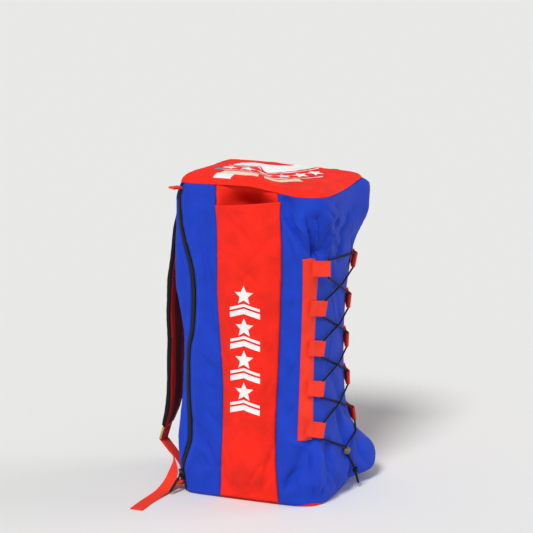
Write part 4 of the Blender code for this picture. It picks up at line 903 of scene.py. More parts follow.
def copy_node(node, look, body="bag", bevel=0.0003):
    """A rounded copy of a hard solid, in its place."""
    source = frame["nodes"][node]
    mesh = source.data.copy()
    mesh.materials.clear()
    mesh.materials.append(LOOKS[look])
    mesh.transform(source.matrix_world)
    item = new_object(node + "_finished", mesh)
    edge = item.modifiers.new("edges", "BEVEL")
    edge.width = bevel
    edge.segments = 2
    edge.limit_method = "ANGLE"
    edge.angle_limit = math.radians(35)
    mesh.shade_smooth()
    mesh.set_sharp_from_angle(angle=math.radians(50))
    return dress(item, body, [node], look)


# Cloth of the body


def creases(spot):
    """Small uneven creases in the cloth, the same on both sides of a seam."""
    broad = noise.noise(spot * 15.0) * CREASE_BROAD
    fine = noise.noise(spot * 41.0 + Vector((7.0, 3.0, 1.0))) * CREASE_FINE
    slant = Vector((spot.x + spot.z * 0.5, spot.y + spot.z * 0.35, spot.z * 0.55))
    ridge = (1 - abs(noise.noise(slant * 13.0))) ** 14
    return broad + fine + CREASE_RIDGE * ridge


def calm(around, height):
    """Less creasing where the lacing lies and on the flat waist."""
    away = abs(around - perimeter(height) / 2)
    laced = ease((0.150 - away) / 0.03) * ease((height - 0.10) / 0.05) * ease((0.84 - height) / 0.05)
    return 1.0 - 0.72 * laced


def fine_push(table, around, height):
    """The same for a table of fine folds, which are deepest half way along."""
    total = sum(
        push * math.exp(-1.3 * away**1.35) * (0.35 + 0.65 * math.sin(math.pi * share))
        for push, away, share in near_folds(table, around, height)
    )
    return total * ease(height / 0.02) * ease((1 - height) / 0.03)


def seam_dip(away, place, seed):
    """Cloth drawn in at a seam, with small puckers along it."""
    pucker = noise.noise(Vector((place * 85.0, seed * 11.0, 0.0)))
    draw = SEAM_DRAW * math.exp(-((away / SEAM_DRAW_REACH) ** 2))
    return PUCKER * pucker * math.exp(-away / PUCKER_REACH) - draw


def fine_heights(last=1.0):
    count = round(BODY_HEIGHT * last / ROW_STEP)
    return [last * i / count for i in range(count + 1)]


def sheet_normals(points):
    """Unit directions out of a grid of points whose rows go up and columns go round by the left side."""
    rows, columns = len(points), len(points[0])
    normals = []
    for r in range(rows):
        line = []
        for c in range(columns):
            across = points[r][min(c + 1, columns - 1)] - points[r][max(c - 1, 0)]
            rise = points[min(r + 1, rows - 1)][c] - points[max(r - 1, 0)][c]
            line.append(across.cross(rise).normalized())
        normals.append(line)
    return normals


TREES = {}
# A wall's turned-in lower edge: inset and drop of each row
HEM_DROPS = ((0.0004, 0.0022), (0.0016, 0.0046), (0.0042, 0.0068))
BARE_CORNER = (-0.112, -0.122)


def covered(point):
    """How far the walls hang down over the base's rim at a point: all but at one corner."""
    away = math.hypot(point.x - BARE_CORNER[0], point.y - BARE_CORNER[1])
    return 1.0 - 0.88 * math.exp(-((away / 0.024) ** 2))


def hem_point(point, out, inset, drop):
    """A point of a wall's turned-in lower edge, down and in from its seam with the base."""
    held = covered(point)
    inward = Vector((-out.x, -out.y, 0)).normalized()
    return point + inward * (inset * held) + Vector((0, 0, -drop * held))


def add_cloth_panel(
    name, node, low, high, look, push=None, heights=None, folds=FINE_FOLDS, level=None, seed=0
):
    """A cloth panel between two seams, given as places round the body at a height share."""
    heights = heights or fine_heights()
    count = max(round((high(0.5) - low(0.5)) / COLUMN_STEP), 6)
    places, base = [], []
    for height in heights:
        first, last = low(height) + SEAM_GAP / 2, high(height) - SEAM_GAP / 2
        line = [(first + (last - first) * i / count, height) for i in range(count + 1)]
        if level is not None:
            near = ease((height / heights[-1] - 0.86) / 0.14)
            line = [(a, h + (level_share(a, level(a)) - heights[-1]) * near) for a, h in line] if near else line
        places.append(line)
        base.append([cloth(a, h) for a, h in line])
    normals = sheet_normals(base)
    grid, weave = [], []
    for r, line in enumerate(places):
        row = []
        for c, (around, height) in enumerate(line):
            away = min(around - line[0][0], line[-1][0] - around)
            edge = seed * 2 + (0 if around - line[0][0] < line[-1][0] - around else 1)
            lift = creases(base[r][c]) * calm(around % perimeter(height), height)
            lift *= ease(height / 0.03) * ease(0.15 + (1 - height) * 22)
            lift += fine_push(folds, around, height) + seam_dip(away, height * BODY_HEIGHT, edge)
            lift -= TOP_SEAM_DRAW * math.exp(-(((1 - height) * BODY_HEIGHT / TOP_SEAM_REACH) ** 2))
            if push:
                lift += push(around, height)
            row.append(base[r][c] + normals[r][c] * lift)
            weave.append((around, height * BODY_HEIGHT))
        grid.append(row)
    for inset, drop in HEM_DROPS:
        row = [hem_point(point, out, inset, drop) for point, out in zip(base[0], normals[0])]
        grid.insert(0, row)
        weave = [(around, -drop) for around, _ in places[0]] + weave
    vertices = [point for row in grid for point in row]
    return add_sheet(name, vertices, grid_faces(len(grid), count + 1), look, weave, node)


def add_sheet(name, vertices, faces, look, weave, node, wall=SHELL_WALL):
    """A sheet in place of a node, thickened inward, that other pieces can be laid on."""
    TREES[node] = BVHTree.FromPolygons(vertices, faces)
    return thicken(add_piece(name, vertices, faces, look, weave, nodes=[node]), wall)


def on_piece(node, spot, out, lift):
    """The point of a piece's surface under a spot, lifted, and its direction out."""
    hit, normal, _, _ = TREES[node].ray_cast(spot + out * 0.03, -out)
    if hit is None:
        return spot + out * lift, out
    if normal.dot(out) < 0:
        normal = -normal
    return hit + normal * lift, normal


def edge_line(side, front):
    """An edge of a side panel, as a function of the height share."""
    return lambda height: side_edge(height, side, front)


def add_body():
    """The blue panels from seam to seam, then each side's inner panel and the sleeve over it."""
    panels = (
        ("front_cloth", "front_panel", edge_line("left", True), edge_line("right", True)),
        ("zip_side_cloth", "zip_panel", lambda h: zip_place(h) + ZIP_SLIT / 2, edge_line("left", False)),
        (
            "back_cloth", "back_panel",
            edge_line("right", False), lambda h: perimeter(h) + zip_place(h) - ZIP_SLIT / 2,
        ),
    )
    for seed, (name, node, low, high) in enumerate(panels, 1):
        add_cloth_panel(name, node, low, high, "blue_cloth", seed=seed)
    for side in ("left", "right"):
        low, high = edge_line(side, side == "right"), edge_line(side, side == "left")

        def sunk(around, height, side=side):
            return -dent(around, height, side) - LAY_GAP

        def mouth(around, side=side):
            return mouth_level(around, side)

        def proud(around, height, side=side):
            hem = HEM_PROUD * ease((height - (MOUTH_SHARE - HEM_DEPTH / BODY_HEIGHT)) * 400)
            return bulge(around, height, side) + LAY_GAP + SLEEVE_WALL + hem

        add_cloth_panel(
            "side_cloth_" + side, "side_panel_" + side, low, high, "red_cloth", sunk, folds=SLEEVE_FOLDS, seed=4
        )
        add_cloth_panel(
            "bat_sleeve_cloth_" + side, "bat_sleeve_" + side, low, high, "red_cloth", proud,
            fine_heights(MOUTH_SHARE), SLEEVE_FOLDS, mouth, 5,
        )


# The crown from its seam to its middle: inset and rise as shares
CROWN = (
    (0.0, 0.0), (0.012, 0.20), (0.03, 0.37), (0.06, 0.52), (0.10, 0.64), (0.26, 0.82), (0.58, 0.97), (1.0, 1.0),
)
CROWN_COUNT, CROWN_RINGS = 320, 44
CROWN_RIDGE = 0.0012
# The seam across the crown: how far back it lies, how deep it is drawn and how far that reaches
CROWN_SEAM, CROWN_SEAM_DRAW, CROWN_SEAM_REACH = 0.105, 0.0010, 0.0016


def add_top():
    """The crown: it rounds over from the seam, with creases and one seam across it."""
    full = perimeter(1.0)
    count, rings = CROWN_COUNT, CROWN_RINGS
    middle = Vector((0.0, 0.10 * BODY_DEPTH, BODY_HEIGHT * 0.99))
    grid, weave = [], []
    for r in range(rings):
        inset = (r / (rings - 1)) ** 1.7 * 0.995
        rise = smooth_rows(CROWN, inset)[0]
        for c in range(count):
            place = full * c / count
            rim = skin(place, 1.0) if r == 0 else grid[c] - Vector((0, 0, SEAM_GAP))
            lean = ease(0.5 - rim.y / BODY_DEPTH)
            lift = CROWN_RISE * rise * (1 - 0.45 * lean)
            point = (rim + Vector((0, 0, SEAM_GAP))).lerp(middle, inset) + Vector((0, 0, lift))
            fade = ease(inset / 0.08)
            slant = Vector((point.x * 0.7 + point.y * 0.5, point.y, 0.0))
            ridge = (1 - abs(noise.noise(slant * 17.0))) ** 9
            point.z += fade * (0.8 * creases(point * 1.1) + CROWN_RIDGE * ridge - CROWN_RIDGE / 2)
            point.z -= CROWN_SEAM_DRAW * fade * math.exp(-(((point.y - CROWN_SEAM) / CROWN_SEAM_REACH) ** 2))
            grid.append(point)
            weave.append((point.x, point.y))
    faces = grid_faces(rings, count, True)
    last = (rings - 1) * count
    faces.append(tuple(range(last, last + count)))
    add_sheet("top_cloth", grid, faces, "red_cloth", weave, "top_panel")


FOOT_COUNT = 260
# The base from its seam inward: inset and rise as shares
FOOT = ((0.0, 1.0), (0.06, 0.72), (0.16, 0.42), (0.30, 0.20), (0.60, 0.04), (1.0, 0.0))


def add_bottom():
    """The base: flat where it stands and turned up to the seam all round."""
    full = perimeter(0.0)
    count = FOOT_COUNT
    grid, weave = [], []
    for inset, rise in FOOT + ((4.0, 0.0), (9.0, 0.0)):
        for c in range(count):
            rim = skin(full * c / count, 0.0)
            towards = Vector((-rim.x, -rim.y, 0)).normalized()
            height = (BASE_RIM - SEAM_GAP) * rise
            tuck = 0.0030 * covered(rim)
            spot = Vector((rim.x, rim.y, 0)) + towards * (FOOT_INSET * inset + tuck) + Vector((0, 0, height))
            grid.append(spot)
            weave.append((spot.x, spot.y))
    faces = grid_faces(len(FOOT) + 2, count, True)
    last = (len(FOOT) + 1) * count
    faces.append(tuple(range(last, last + count)))
    item = add_piece("bottom_cloth", grid, faces, "red_cloth", weave, nodes=["bottom_panel"])
    thicken(face_outward(item), SHELL_WALL)


# Stitches, zip and tabs


def add_stitches(name, spots, look, slot):
    """A row of stitches, each spot a point on the cloth, the direction along the seam and the one out."""
    long, wide, tall = STITCH_SIZE
    vertices, faces = [], []
    for point, along, out in spots:
        across = along.cross(out).normalized()
        start = len(vertices)
        for end, shrink in ((-0.5, 0.35), (-0.28, 1.0), (0.28, 1.0), (0.5, 0.35)):
            for a, o in ((-0.5, -0.3), (0.5, -0.3), (0.36, 0.55), (-0.36, 0.55)):
                side = across * (wide * a * shrink) + out * (tall * o * shrink)
                vertices.append(point + along * (long * end) + side)
        for r in range(3):
            for k in range(4):
                n = (k + 1) % 4
                a, b = start + r * 4, start + r * 4 + 4
                faces.append((a + k, a + n, b + n, b + k))
        faces.append((start + 3, start + 2, start + 1, start))
        faces.append((start + 12, start + 13, start + 14, start + 15))
    return face_outward(add_piece(name, vertices, faces, look, slot=slot))


def stitch_spots(node, place_at, start, stop, lift=STITCH_LIFT):
    """Stitch places up a line of the cloth, from one height share to another."""
    count = int((stop - start) * BODY_HEIGHT / STITCH_PITCH)
    spots = []
    for i in range(count):
        height = start + (stop - start) * (i + 0.5) / count
        ahead = height + 0.002
        out = cloth_axes(place_at(height), height)[2]
        point, normal = on_piece(node, cloth(place_at(height), height), out, lift)
        later, _ = on_piece(node, cloth(place_at(ahead), ahead), out, lift)
        spots.append((point, (later - point).normalized(), normal))
    return spots


def add_zip_stitches():
    """A row of stitches along each side of the zip."""
    away = ZIP_STITCH_AWAY
    spots = stitch_spots("zip_panel", lambda h: zip_place(h) + away, *ZIP_STITCH_ENDS)
    spots += stitch_spots("back_panel", lambda h: perimeter(h) + zip_place(h) - away, *ZIP_STITCH_ENDS)
    add_stitches("zip_stitches", spots, "blue_thread", "blue_cloth")


def add_hem_stitches():
    """The stitches that hold the hem of each sleeve's mouth."""
    inset = 0.002
    for side in ("left", "right"):
        edges = panel_edges(0.92, side)
        span = edges[1] - edges[0] - 2 * inset
        count = int(span / STITCH_PITCH)
        node = "bat_sleeve_" + side
        spots = []
        for i in range(count):
            around = edges[0] + inset + span * (i + 0.5) / count
            share = level_share(around, mouth_level(around, side) - HEM_DEPTH)
            out = cloth_axes(around, share)[2]
            point, normal = on_piece(node, cloth(around, share), out, STITCH_LIFT)
            later, _ = on_piece(node, cloth(around + 0.001, share), out, STITCH_LIFT)
            spots.append((point, (later - point).normalized(), normal))
        add_stitches("hem_stitches_" + side, spots, "red_thread", "red_cloth")


def add_zip_tape():
    """The tapes of the closed zip."""
    heights = fine_heights()
    grid, weave = [], []
    for height in heights:
        place = zip_place(height)
        for c in range(9):
            across = (c / 8 - 0.5) * (ZIP_SLIT - 2 * SEAM_GAP)
            out = cloth_axes(place, height)[2]
            roll = TAPE_ROLL * (1 - (2 * c / 8 - 1) ** 2)
            grid.append(cloth(place + across, height) + out * (roll - LAY_GAP))
            weave.append((across, height * BODY_HEIGHT))
    add_sheet("zip_tape", grid, grid_faces(len(heights), 9), "black_zip", weave, "zip_strip", TAPE_WALL)


def add_zip_teeth():
    """The zip's two rows of teeth, in each other's gaps."""
    vertices, faces = [], []
    low = SLIDER_HEIGHT_ON_ZIP / BODY_HEIGHT + 0.012
    count = int((0.99 - low) * BODY_HEIGHT / TOOTH_PITCH)
    wide, long, tall = TOOTH_SIZE
    for i in range(count):
        height = low + (0.99 - low) * i / count
        place = zip_place(height)
        axes = cloth_axes(place, height)
        turn = 1 if i % 2 else -1
        spot = cloth(place, height) + axes[2] * 0.0002 + axes[0] * (turn * 0.0006)
        start = len(vertices)
        for u in (-0.5, 0.5):
            for a, o in ((-0.5, 0.0), (0.5, 0.0), (0.42, 0.8), (0.0, 1.0), (-0.42, 0.8)):
                vertices.append(spot + axes[0] * (wide * a) + axes[1] * (long * u) + axes[2] * (tall * o))
        for k in range(5):
            n = (k + 1) % 5
            faces.append((start + k, start + n, start + 5 + n, start + 5 + k))
        faces.append(tuple(start + k for k in (4, 3, 2, 1, 0)))
        faces.append(tuple(start + k for k in (5, 6, 7, 8, 9)))
    face_outward(add_piece("zip_teeth", vertices, faces, "black_teeth", slot="black_zip"))


def add_hardware():
    copy_node("zip_slider", "black_metal")
    copy_node("zip_pull", "black_metal", "zip_pull", 0.00025)
    copy_node("strap_buckle_left", "brass", bevel=0.0006)
    copy_node("strap_buckle_right", "brass", bevel=0.0006)


def half_turn(along, out, radius, parts):
    """A half turn of webbing, as (along, out) pairs from its low side round its far end to its high side."""
    turns = [math.radians(-90 + 180 * k / parts) for k in range(parts + 1)]
    return [(along + radius * math.cos(a), out + radius * math.sin(a)) for a in turns]


def ribbon_rows(place, path, turn):
    """Rows of a ribbon along (along, out) pairs of a frame. It lies along the frame's up axis."""
    rows = []
    for i, (along, out) in enumerate(path):
        ahead, behind = path[min(i + 1, len(path) - 1)], path[max(i - 1, 0)]
        heading = place.point(ahead[0], 0, ahead[1]) - place.point(behind[0], 0, behind[1])
        rows.append((place.point(along, 0, out), place.up, place.up.cross(heading).normalized() * turn))
    return rows


def folded_tab(name, node, height, shift, tilt, lift):
    """A soft folded tab of webbing at an end of the zip."""
    seat = cloth_frame(zip_place(height) + shift, height, lift)
    out = (seat.out * math.cos(tilt) + seat.up * math.sin(tilt)).normalized()
    tab = Frame(seat.origin, out, seat.along, out.cross(seat.along))
    low = WEBBING_WALL / 2
    total = 2 * WEBBING_WALL + ZIP_TAB_FOLD
    reach = ZIP_TAB_LENGTH - total / 2
    sides = [(reach * i / 8, ZIP_TAB_SWELL * math.sin(math.pi * i / 8)) for i in range(9)]
    path = [(a, low + swell) for a, swell in sides]
    path += half_turn(reach, total / 2, total / 2 - low, 8)[1:-1]
    path += [(reach - a, total - low - swell) for a, swell in sides]
    add_ribbon(name, ribbon_rows(tab, path, -1), ZIP_TAB_WIDTH, WEBBING_WALL, "red_webbing", nodes=[node])


# Lacing


def add_lace_strips():
    for side in ("left", "right"):
        rows = round((LACE_TOP - LACE_BOTTOM) / 0.003)
        grid, weave = [], []
        for r in range(rows + 1):
            height = LACE_LOW + (LACE_HIGH - LACE_LOW) * r / rows
            edges = sorted((lace_edge(height, side, False), lace_edge(height, side, True)))
            for c in range(13):
                share = c / 12
                around = edges[0] + (edges[1] - edges[0]) * share
                out = cloth_axes(around, height)[2]
                rise = LAY_GAP + WEBBING_WALL - 0.0006 * (2 * share - 1) ** 10
                grid.append(on_piece("front_panel", cloth(around, height), out, rise)[0])
                weave.append((share * WEBBING, height * BODY_HEIGHT))
        node = "lace_strip_" + side
        faces = grid_faces(rows + 1, 13)
        add_sheet("lace_strip_webbing_" + side, grid, faces, "red_webbing", weave, node, WEBBING_WALL)
        spots = []
        for inset in (STITCH_INSET, WEBBING - STITCH_INSET):

            def line(height, inset=inset, side=side):
                turn = TURN[side]
                return lace_edge(height, side, False) + turn * inset

            spots += stitch_spots(node, line, LACE_LOW + 0.003, LACE_HIGH - 0.003, 0.00005)
        add_stitches("lace_stitches_" + side, spots, "red_thread", "red_webbing")


def add_loops():
    """The lacing's loops, each folded round its eye and sewn down with a box of stitches."""
    eye, radius = loop_eye()
    low = WEBBING_WALL / 2
    seam = 2 * WEBBING_WALL + 0.0006
    steps = [(eye + LOOP_OVERLAP) * i / 14 for i in range(15)]
    path = [(step - LOOP_OVERLAP, low) for step in steps]
    path += half_turn(eye, radius, radius - low, 12)[1:-1]
    path += [(eye - step, seam - low + (2 * radius - seam) * ease((eye - step) / eye)) for step in steps]
    for side in ("left", "right"):
        for index in range(LOOP_COUNT):
            place = loop_frame(index, side)
            node = "lace_loop_%s_%d" % (side, index + 1)
            rows = ribbon_rows(place, path, 1)
            add_ribbon(node + "_webbing", rows, WEBBING, WEBBING_WALL, "red_webbing", nodes=[node])
            across = [
                (place.point(along, (k / 6 - 0.5) * (WEBBING - 0.005), seam + STITCH_LIFT), place.up, place.out)
                for along in (0.002 - LOOP_OVERLAP, -0.0015) for k in range(7)
            ]
            beside = [
                (place.point(0.004 - LOOP_OVERLAP + k * 0.0035, up, seam + STITCH_LIFT), place.along, place.out)
                for k in range(4) for up in (0.0025 - WEBBING / 2, WEBBING / 2 - 0.0025)
            ]
            add_stitches(node + "_stitches", across + beside, "red_thread", "red_webbing")


TAUT_STEPS, TAUT_ROUNDS = 22, 90
CORD_CLEAR = 0.0002


def taut(start, finish, over):
    """A cord's way from one point to another, drawn tight over the front's cloth, and over another cord."""
    steps = TAUT_STEPS
    points = [start.lerp(finish, i / steps) for i in range(steps + 1)]
    for _ in range(TAUT_ROUNDS):
        for i in range(1, steps):
            spot = (points[i - 1] + points[i + 1]) / 2
            need = CORD_DIAMETER / 2 + CORD_CLEAR
            if over:
                need += (CORD_DIAMETER + 0.0005) * math.exp(-(((i / steps - 0.5) / 0.15) ** 2))
            seat, normal, _, _ = TREES["front_panel"].find_nearest(spot)
            clear = (spot - seat).dot(normal)
            if clear < need:
                spot = spot + normal * (need - clear)
            points[i] = spot
    return points


def lacing_way():
    """The lacing from under the lock by the left, zigzag up through the loops, across and back down."""
    eye, out = loop_eye()
    lock = lock_frame()
    spread = CORD_DIAMETER / 2 + RUN_GAP / 2
    inside = WEBBING / 2 + 0.0008

    def exit_point(index, side, end):
        return loop_frame(index, side).point(eye, end * inside, out)

    def strand(side, over):
        points = []
        for index in range(LOOP_COUNT - 1, -1, -1):
            points += [exit_point(index, side, -1), exit_point(index, side, 0), exit_point(index, side, 1)]
            if index:
                other = "right" if side == "left" else "left"
                points += taut(points[-1], exit_point(index - 1, other, -1), over)[1:-1]
                side, over = other, not over
        return points

    def lead(turn, side):
        rise = LOCK_DIAMETER / 2
        run = [lock.point(turn * spread, up, 0) for up in (-rise, 0, rise, rise + CORD_DIAMETER)]
        return run + taut(run[-1], exit_point(LOOP_COUNT - 1, side, -1), False)[1:-1]

    left, right = strand("left", True), strand("right", False)
    crest = taut(left[-1], right[-1], False)[1:-1]
    return lead(-1, "left") + left + crest + right[::-1] + lead(1, "right")[::-1]


def add_cords():
    """The lacing, its two ends below the lock and the knot in them."""
    route = smooth_curve(lacing_way(), 2)
    lacing = add_tube("lacing_cord_braided", route, CORD_DIAMETER, "black_cord", nodes=["lacing_cord"])
    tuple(route[0])
    run_length(route)
    lock = lock_frame()
    middle, knot, down = tail_route()
    ends = []
    for turn in (-1, 1):
        beside = lock.along * (turn * CORD_DIAMETER * 0.52)
        points = [lock.point(0, -LOCK_DIAMETER * 0.3, 0) + beside]
        points += [spot + beside * (1 - 0.12 * i / len(middle)) for i, spot in enumerate(middle)]
        points += [knot + beside * 0.55 + down * step for step in (-0.004, 0.004)]
        spread = beside * (0.9 if turn < 0 else 1.5)
        points += [knot + down * (0.010 + 0.0045 * i) + spread for i in range(5 if turn < 0 else 6)]
        ends.append((smooth_curve(points, 3), turn))
    knots = add_knot(knot, down, lock.along)
    for points, turn in ends:
        name = "lacing_end_" + ("left" if turn < 0 else "right")
        end = add_tube(name, points, CORD_DIAMETER, "black_cord", nodes=["lacing_tails"])
        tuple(points[0])
        run_length(points)


def tail_route():
    """Where the ends run below the lock: points down to the knot, its middle, and the way down past it."""
    lock = lock_frame()
    start = -LOCK_DIAMETER / 2 - 2 * LAY_GAP
    lead = TAIL_DIAMETER
    below = LOCK_SHARE - KNOT_DROP[2] / BODY_HEIGHT

    def clear(point, height, diameter):
        return kept_clear(point, lock_place() + KNOT_DROP[0], height, diameter / 2 + LAY_GAP)

    across, out, drop = KNOT_DROP
    knot = clear(lock.origin + Vector((across, -out, -drop)), below, KNOT_DIAMETER)
    tip = lock.origin + Vector((across, -out, -drop)) + Vector((0.3 * across, -0.3 * out, -drop / 2))
    tip = clear(tip, below - drop / 2 / BODY_HEIGHT, CORD_DIAMETER)
    down = (tip - knot).normalized()
    end = knot - down * (KNOT_LENGTH / 2 + 2 * LAY_GAP)
    first = lock.point(0, start - lead * 0.4, 0)
    middle = [first] + [first.lerp(end, share) for share in (0.3, 0.6, 0.85)]
    middle[1:] = [clear(point, (LOCK_SHARE + below) / 2, TAIL_DIAMETER) for point in middle[1:]]
    return middle, knot, down


def add_knot(knot, down, along):
    """An overhand knot round both ends, as one wound cord with its lumps."""
    across = (along - down * along.dot(down)).normalized()
    out = down.cross(across)
    points = []
    for i in range(61):
        turn = 2 * math.pi * 2.2 * i / 60
        radius = 0.0037 + 0.0007 * math.sin(1.5 * turn)
        rise = (i / 60 - 0.5) * KNOT_LENGTH * 0.62
        beside = across * (radius * 1.15 * math.cos(turn)) + out * (radius * 0.9 * math.sin(turn))
        points.append(knot + beside + down * rise)
    return add_tube("lacing_knot_wound", points, CORD_DIAMETER * 0.92, "black_cord", nodes=["lacing_knot"])


def add_turned_piece(name, place, profile, look, body, node, sides=40):
    """A round piece about a frame's along axis, from its (along, radius) pairs."""
    rings, weave = [], []
    for along, radius in profile:
        turns = [2 * math.pi * k / sides for k in range(sides)]
        rings.append([place.point(along, radius * math.cos(a), radius * math.sin(a)) for a in turns])
        weave += [(along, radius)] * sides
    return add_rings_piece(name, rings, look, weave, body, [node], look)


# How deep the button's bore goes and where the button ends at rest, from the lock's middle
BORE_FLOOR = 0.0040
BUTTON_TIP = 0.0078
# The barrel's profile in shares of its half length and radius, and the button's dome: back from its head, and
# share of its radius
BARREL = (
    (-1.0, 0.30), (-1.0, 0.60), (-0.96, 0.72), (-0.85, 0.84), (-0.70, 0.93), (-0.50, 0.985), (-0.30, 1.0),
    (-0.27, 0.955), (-0.20, 0.955), (-0.17, 1.0), (0.17, 1.0), (0.20, 0.955), (0.27, 0.955), (0.30, 1.0),
    (0.55, 1.0), (0.80, 0.97), (0.94, 0.93), (1.0, 0.88),
)
BUTTON = ((0.0024, 1.0), (0.0012, 0.95), (0.0004, 0.80), (0.0, 0.55), (0.0, 0.20))


def add_lock():
    """The cord lock: a ribbed barrel with a domed button in its end."""
    place = lock_frame()
    half, radius = LOCK_LENGTH / 2, LOCK_DIAMETER / 2
    bore, size = BUTTON_DIAMETER / 2 + RUN_GAP, BUTTON_DIAMETER / 2
    head = half + BUTTON_PROUD
    barrel = [(half * along, radius * wide) for along, wide in BARREL] + [(half, bore), (BORE_FLOOR, bore)]
    button = [(BUTTON_TIP, size)] + [(head - back, size * wide) for back, wide in BUTTON]
    for name, profile, body, node in (
        ("cord_lock_body", barrel, "bag", "cord_lock_barrel"),
        ("cord_lock_press", button, "cord_lock_button", "cord_lock_button"),
    ):
        add_turned_piece(name, place, profile, "olive_plastic", body, node)


# Shoulder straps

STRAP_SECTION_STEPS = 72


def strap_way(height, side, up=0.0, down=0.004):
    """The direction down a padded strap and the one out of its outer face."""
    ahead = strap_row(max(height - down, STRAP_LOW), side)[0]
    behind = strap_row(min(height + up, STRAP_TOP), side)[0]
    way = (ahead - behind).normalized()
    return way, Vector((0, -way.z, way.y)).normalized()


def strap_ring(inner, width, thickness, out):
    """Points round a padded strap, each with its share across and its share from the inner face out."""
    ring = []
    for k in range(STRAP_SECTION_STEPS):
        turn = 2 * math.pi * (k + 0.5) / STRAP_SECTION_STEPS
        c, s = math.cos(turn), math.sin(turn)
        across = math.copysign(abs(c) ** 0.30, c) / 2
        depth = 0.5 + math.copysign(abs(s) ** 0.55, s) / 2
        swell = 1.0 - 0.10 * (2 * across) ** 2
        depth = 0.5 + (depth - 0.5) * swell
        ring.append((inner + Vector((across * width, 0, 0)) + out * (depth * thickness), across, depth))
    return ring


def add_padded_strap(side):
    """A padded strap: black outside, red lining with a darker red painted shade down its middle, with bound and
    piped edges.
    """
    rows = 190
    rings, weave = [], []
    run, last = 0.0, None
    for i in range(rows + 1):
        height = STRAP_TOP + (STRAP_LOW - STRAP_TOP) * i / rows
        inner, width, thickness = strap_row(height, side)
        _, out = strap_way(height, side, 0.004)
        run += (inner - last).length if last else 0.0
        last = inner
        ring = []
        for point, across, depth in strap_ring(inner, width, thickness, out):
            edge = math.exp(-(((abs(across) - QUILT_EDGE) / 0.012) ** 2))
            edge += 1.5 * math.exp(-(((abs(across) - QUILT_CHANNEL) / 0.03) ** 2)) if depth < 0.5 else 0.0
            pucker = noise.noise(Vector((run * 90.0, across * 9.0, 4.0 if depth > 0.5 else 9.0)))
            face = 1 if depth > 0.5 else -1
            sag = noise.noise(Vector((run * 16.0, across * 2.0, 2.0 + face))) * STRAP_SAG
            shift = STRAP_PUCKER * pucker + sag - QUILT_DRAW * edge
            shift *= 1 if abs(2 * depth - 1) > 0.07 else 0.3
            ring.append(point + out * (face * shift))
            weave.append((across * width, run))
        rings.append(ring)
    name, node = "shoulder_pad_" + side, "shoulder_strap_" + side
    item = add_rings_piece(name, rings, "black_padding", weave, nodes=[node])
    for key in ("red_lining", "lining_painted_shade"):
        item.data.materials.append(LOOKS[key])
    sample = strap_ring(Vector((0, 0, 0)), 1.0, 1.0, Vector((0, 1, 0)))
    for face in item.data.polygons:
        if len(face.vertices) > 4:
            continue
        ks = sorted(v % STRAP_SECTION_STEPS for v in face.vertices)
        across = abs(sum(sample[k][1] for k in ks) / 4)
        depth = sum(sample[k][2] for k in ks) / 4
        if depth < 0.5 and across < LINING_EDGE:
            # The middle of the inner face gets the darker red painted shade, with a black line between it and the
            # red lining
            face.material_index = 1 if across > CHANNEL_EDGE else 0 if across > PAINTED_SHADE_EDGE else 2
    add_strap_stitches(side)


def add_strap_stitches(side):
    """Rows of stitches along both edges of a padded strap, outside and inside."""
    count = int((STRAP_TOP - STRAP_LOW) * BODY_HEIGHT / STITCH_PITCH)
    for name, sign, depth, look in (("outer", 1, 0.968, "red_thread"), ("inner", -1, 0.032, "black_thread")):
        spots = []
        for turn in (-1, 1):
            for i in range(2, count - 1):
                height = STRAP_TOP + (STRAP_LOW - STRAP_TOP) * i / count
                inner, width, thickness = strap_row(height, side)
                down, out = strap_way(height, side)
                spot = inner + Vector((turn * STRAP_STITCH_ACROSS * width, 0, 0)) + out * (depth * thickness)
                spots.append((spot, down, out * sign))
        add_stitches("strap_stitches_%s_%s" % (name, side), spots, look, "black_padding")


def webbing_rows(side):
    """The adjusting webbing's middle line and twist, as the solid has them."""
    frame_at = buckle_frame(side)
    turn = -TURN[side]
    inside = BUCKLE_BAR / 2 + LAY_GAP
    centre = inside + WEBBING_WALL / 2
    level = BUCKLE_BAR / 2
    seats = []
    for share in ANCHOR_HEIGHTS:
        x = turn * ANCHOR_ACROSS * BODY_WIDTH
        around = -x if side == "left" else perimeter(share) - x
        beside = [(w * STRAP_WEBBING, r) for w in (-0.5, 0.0, 0.5) for r in (-0.02, 0.0, 0.02)]
        back = max(cloth(around + w, share + r).y for w, r in beside)
        seats.append(Vector((x, back + LAY_GAP + WEBBING_WALL / 2, share * BODY_HEIGHT)))
    straight = -BUCKLE_HEIGHT / 2 - 2 * RUN_GAP
    past = straight - 2 * WEBBING_WALL
    low = frame_at.point(0, past, -centre)
    rise = seats[-1].lerp(low, 0.35) + Vector((0, -0.004, 0))
    points = smooth_curve(seats + [rise, low], 8)
    points += [frame_at.point(0, straight + (level - straight) * k / 4, -centre) for k in range(4)]
    points += [frame_at.point(0, up, out) for up, out in half_turn(level, 0.0, centre, 12)]
    points += [frame_at.point(0, level + (straight - level) * k / 4, centre) for k in range(1, 5)]
    rows = [(point, 0.0) for point in points]
    tail = [frame_at.point(0, past, centre)]
    twists = [0.0]
    for across, out, height, twist in TAIL:
        tail.append(Vector((turn * across * BODY_WIDTH / 2, out * BODY_DEPTH / 2, height * BODY_HEIGHT)))
        twists.append(twist)
    parts = 8
    for i, point in enumerate(smooth_curve(tail, parts)):
        at = min(i / parts, len(twists) - 1.001)
        t = at - int(at)
        rows.append((point, twists[int(at)] * (1 - t) + twists[int(at) + 1] * t))
    return rows, turn


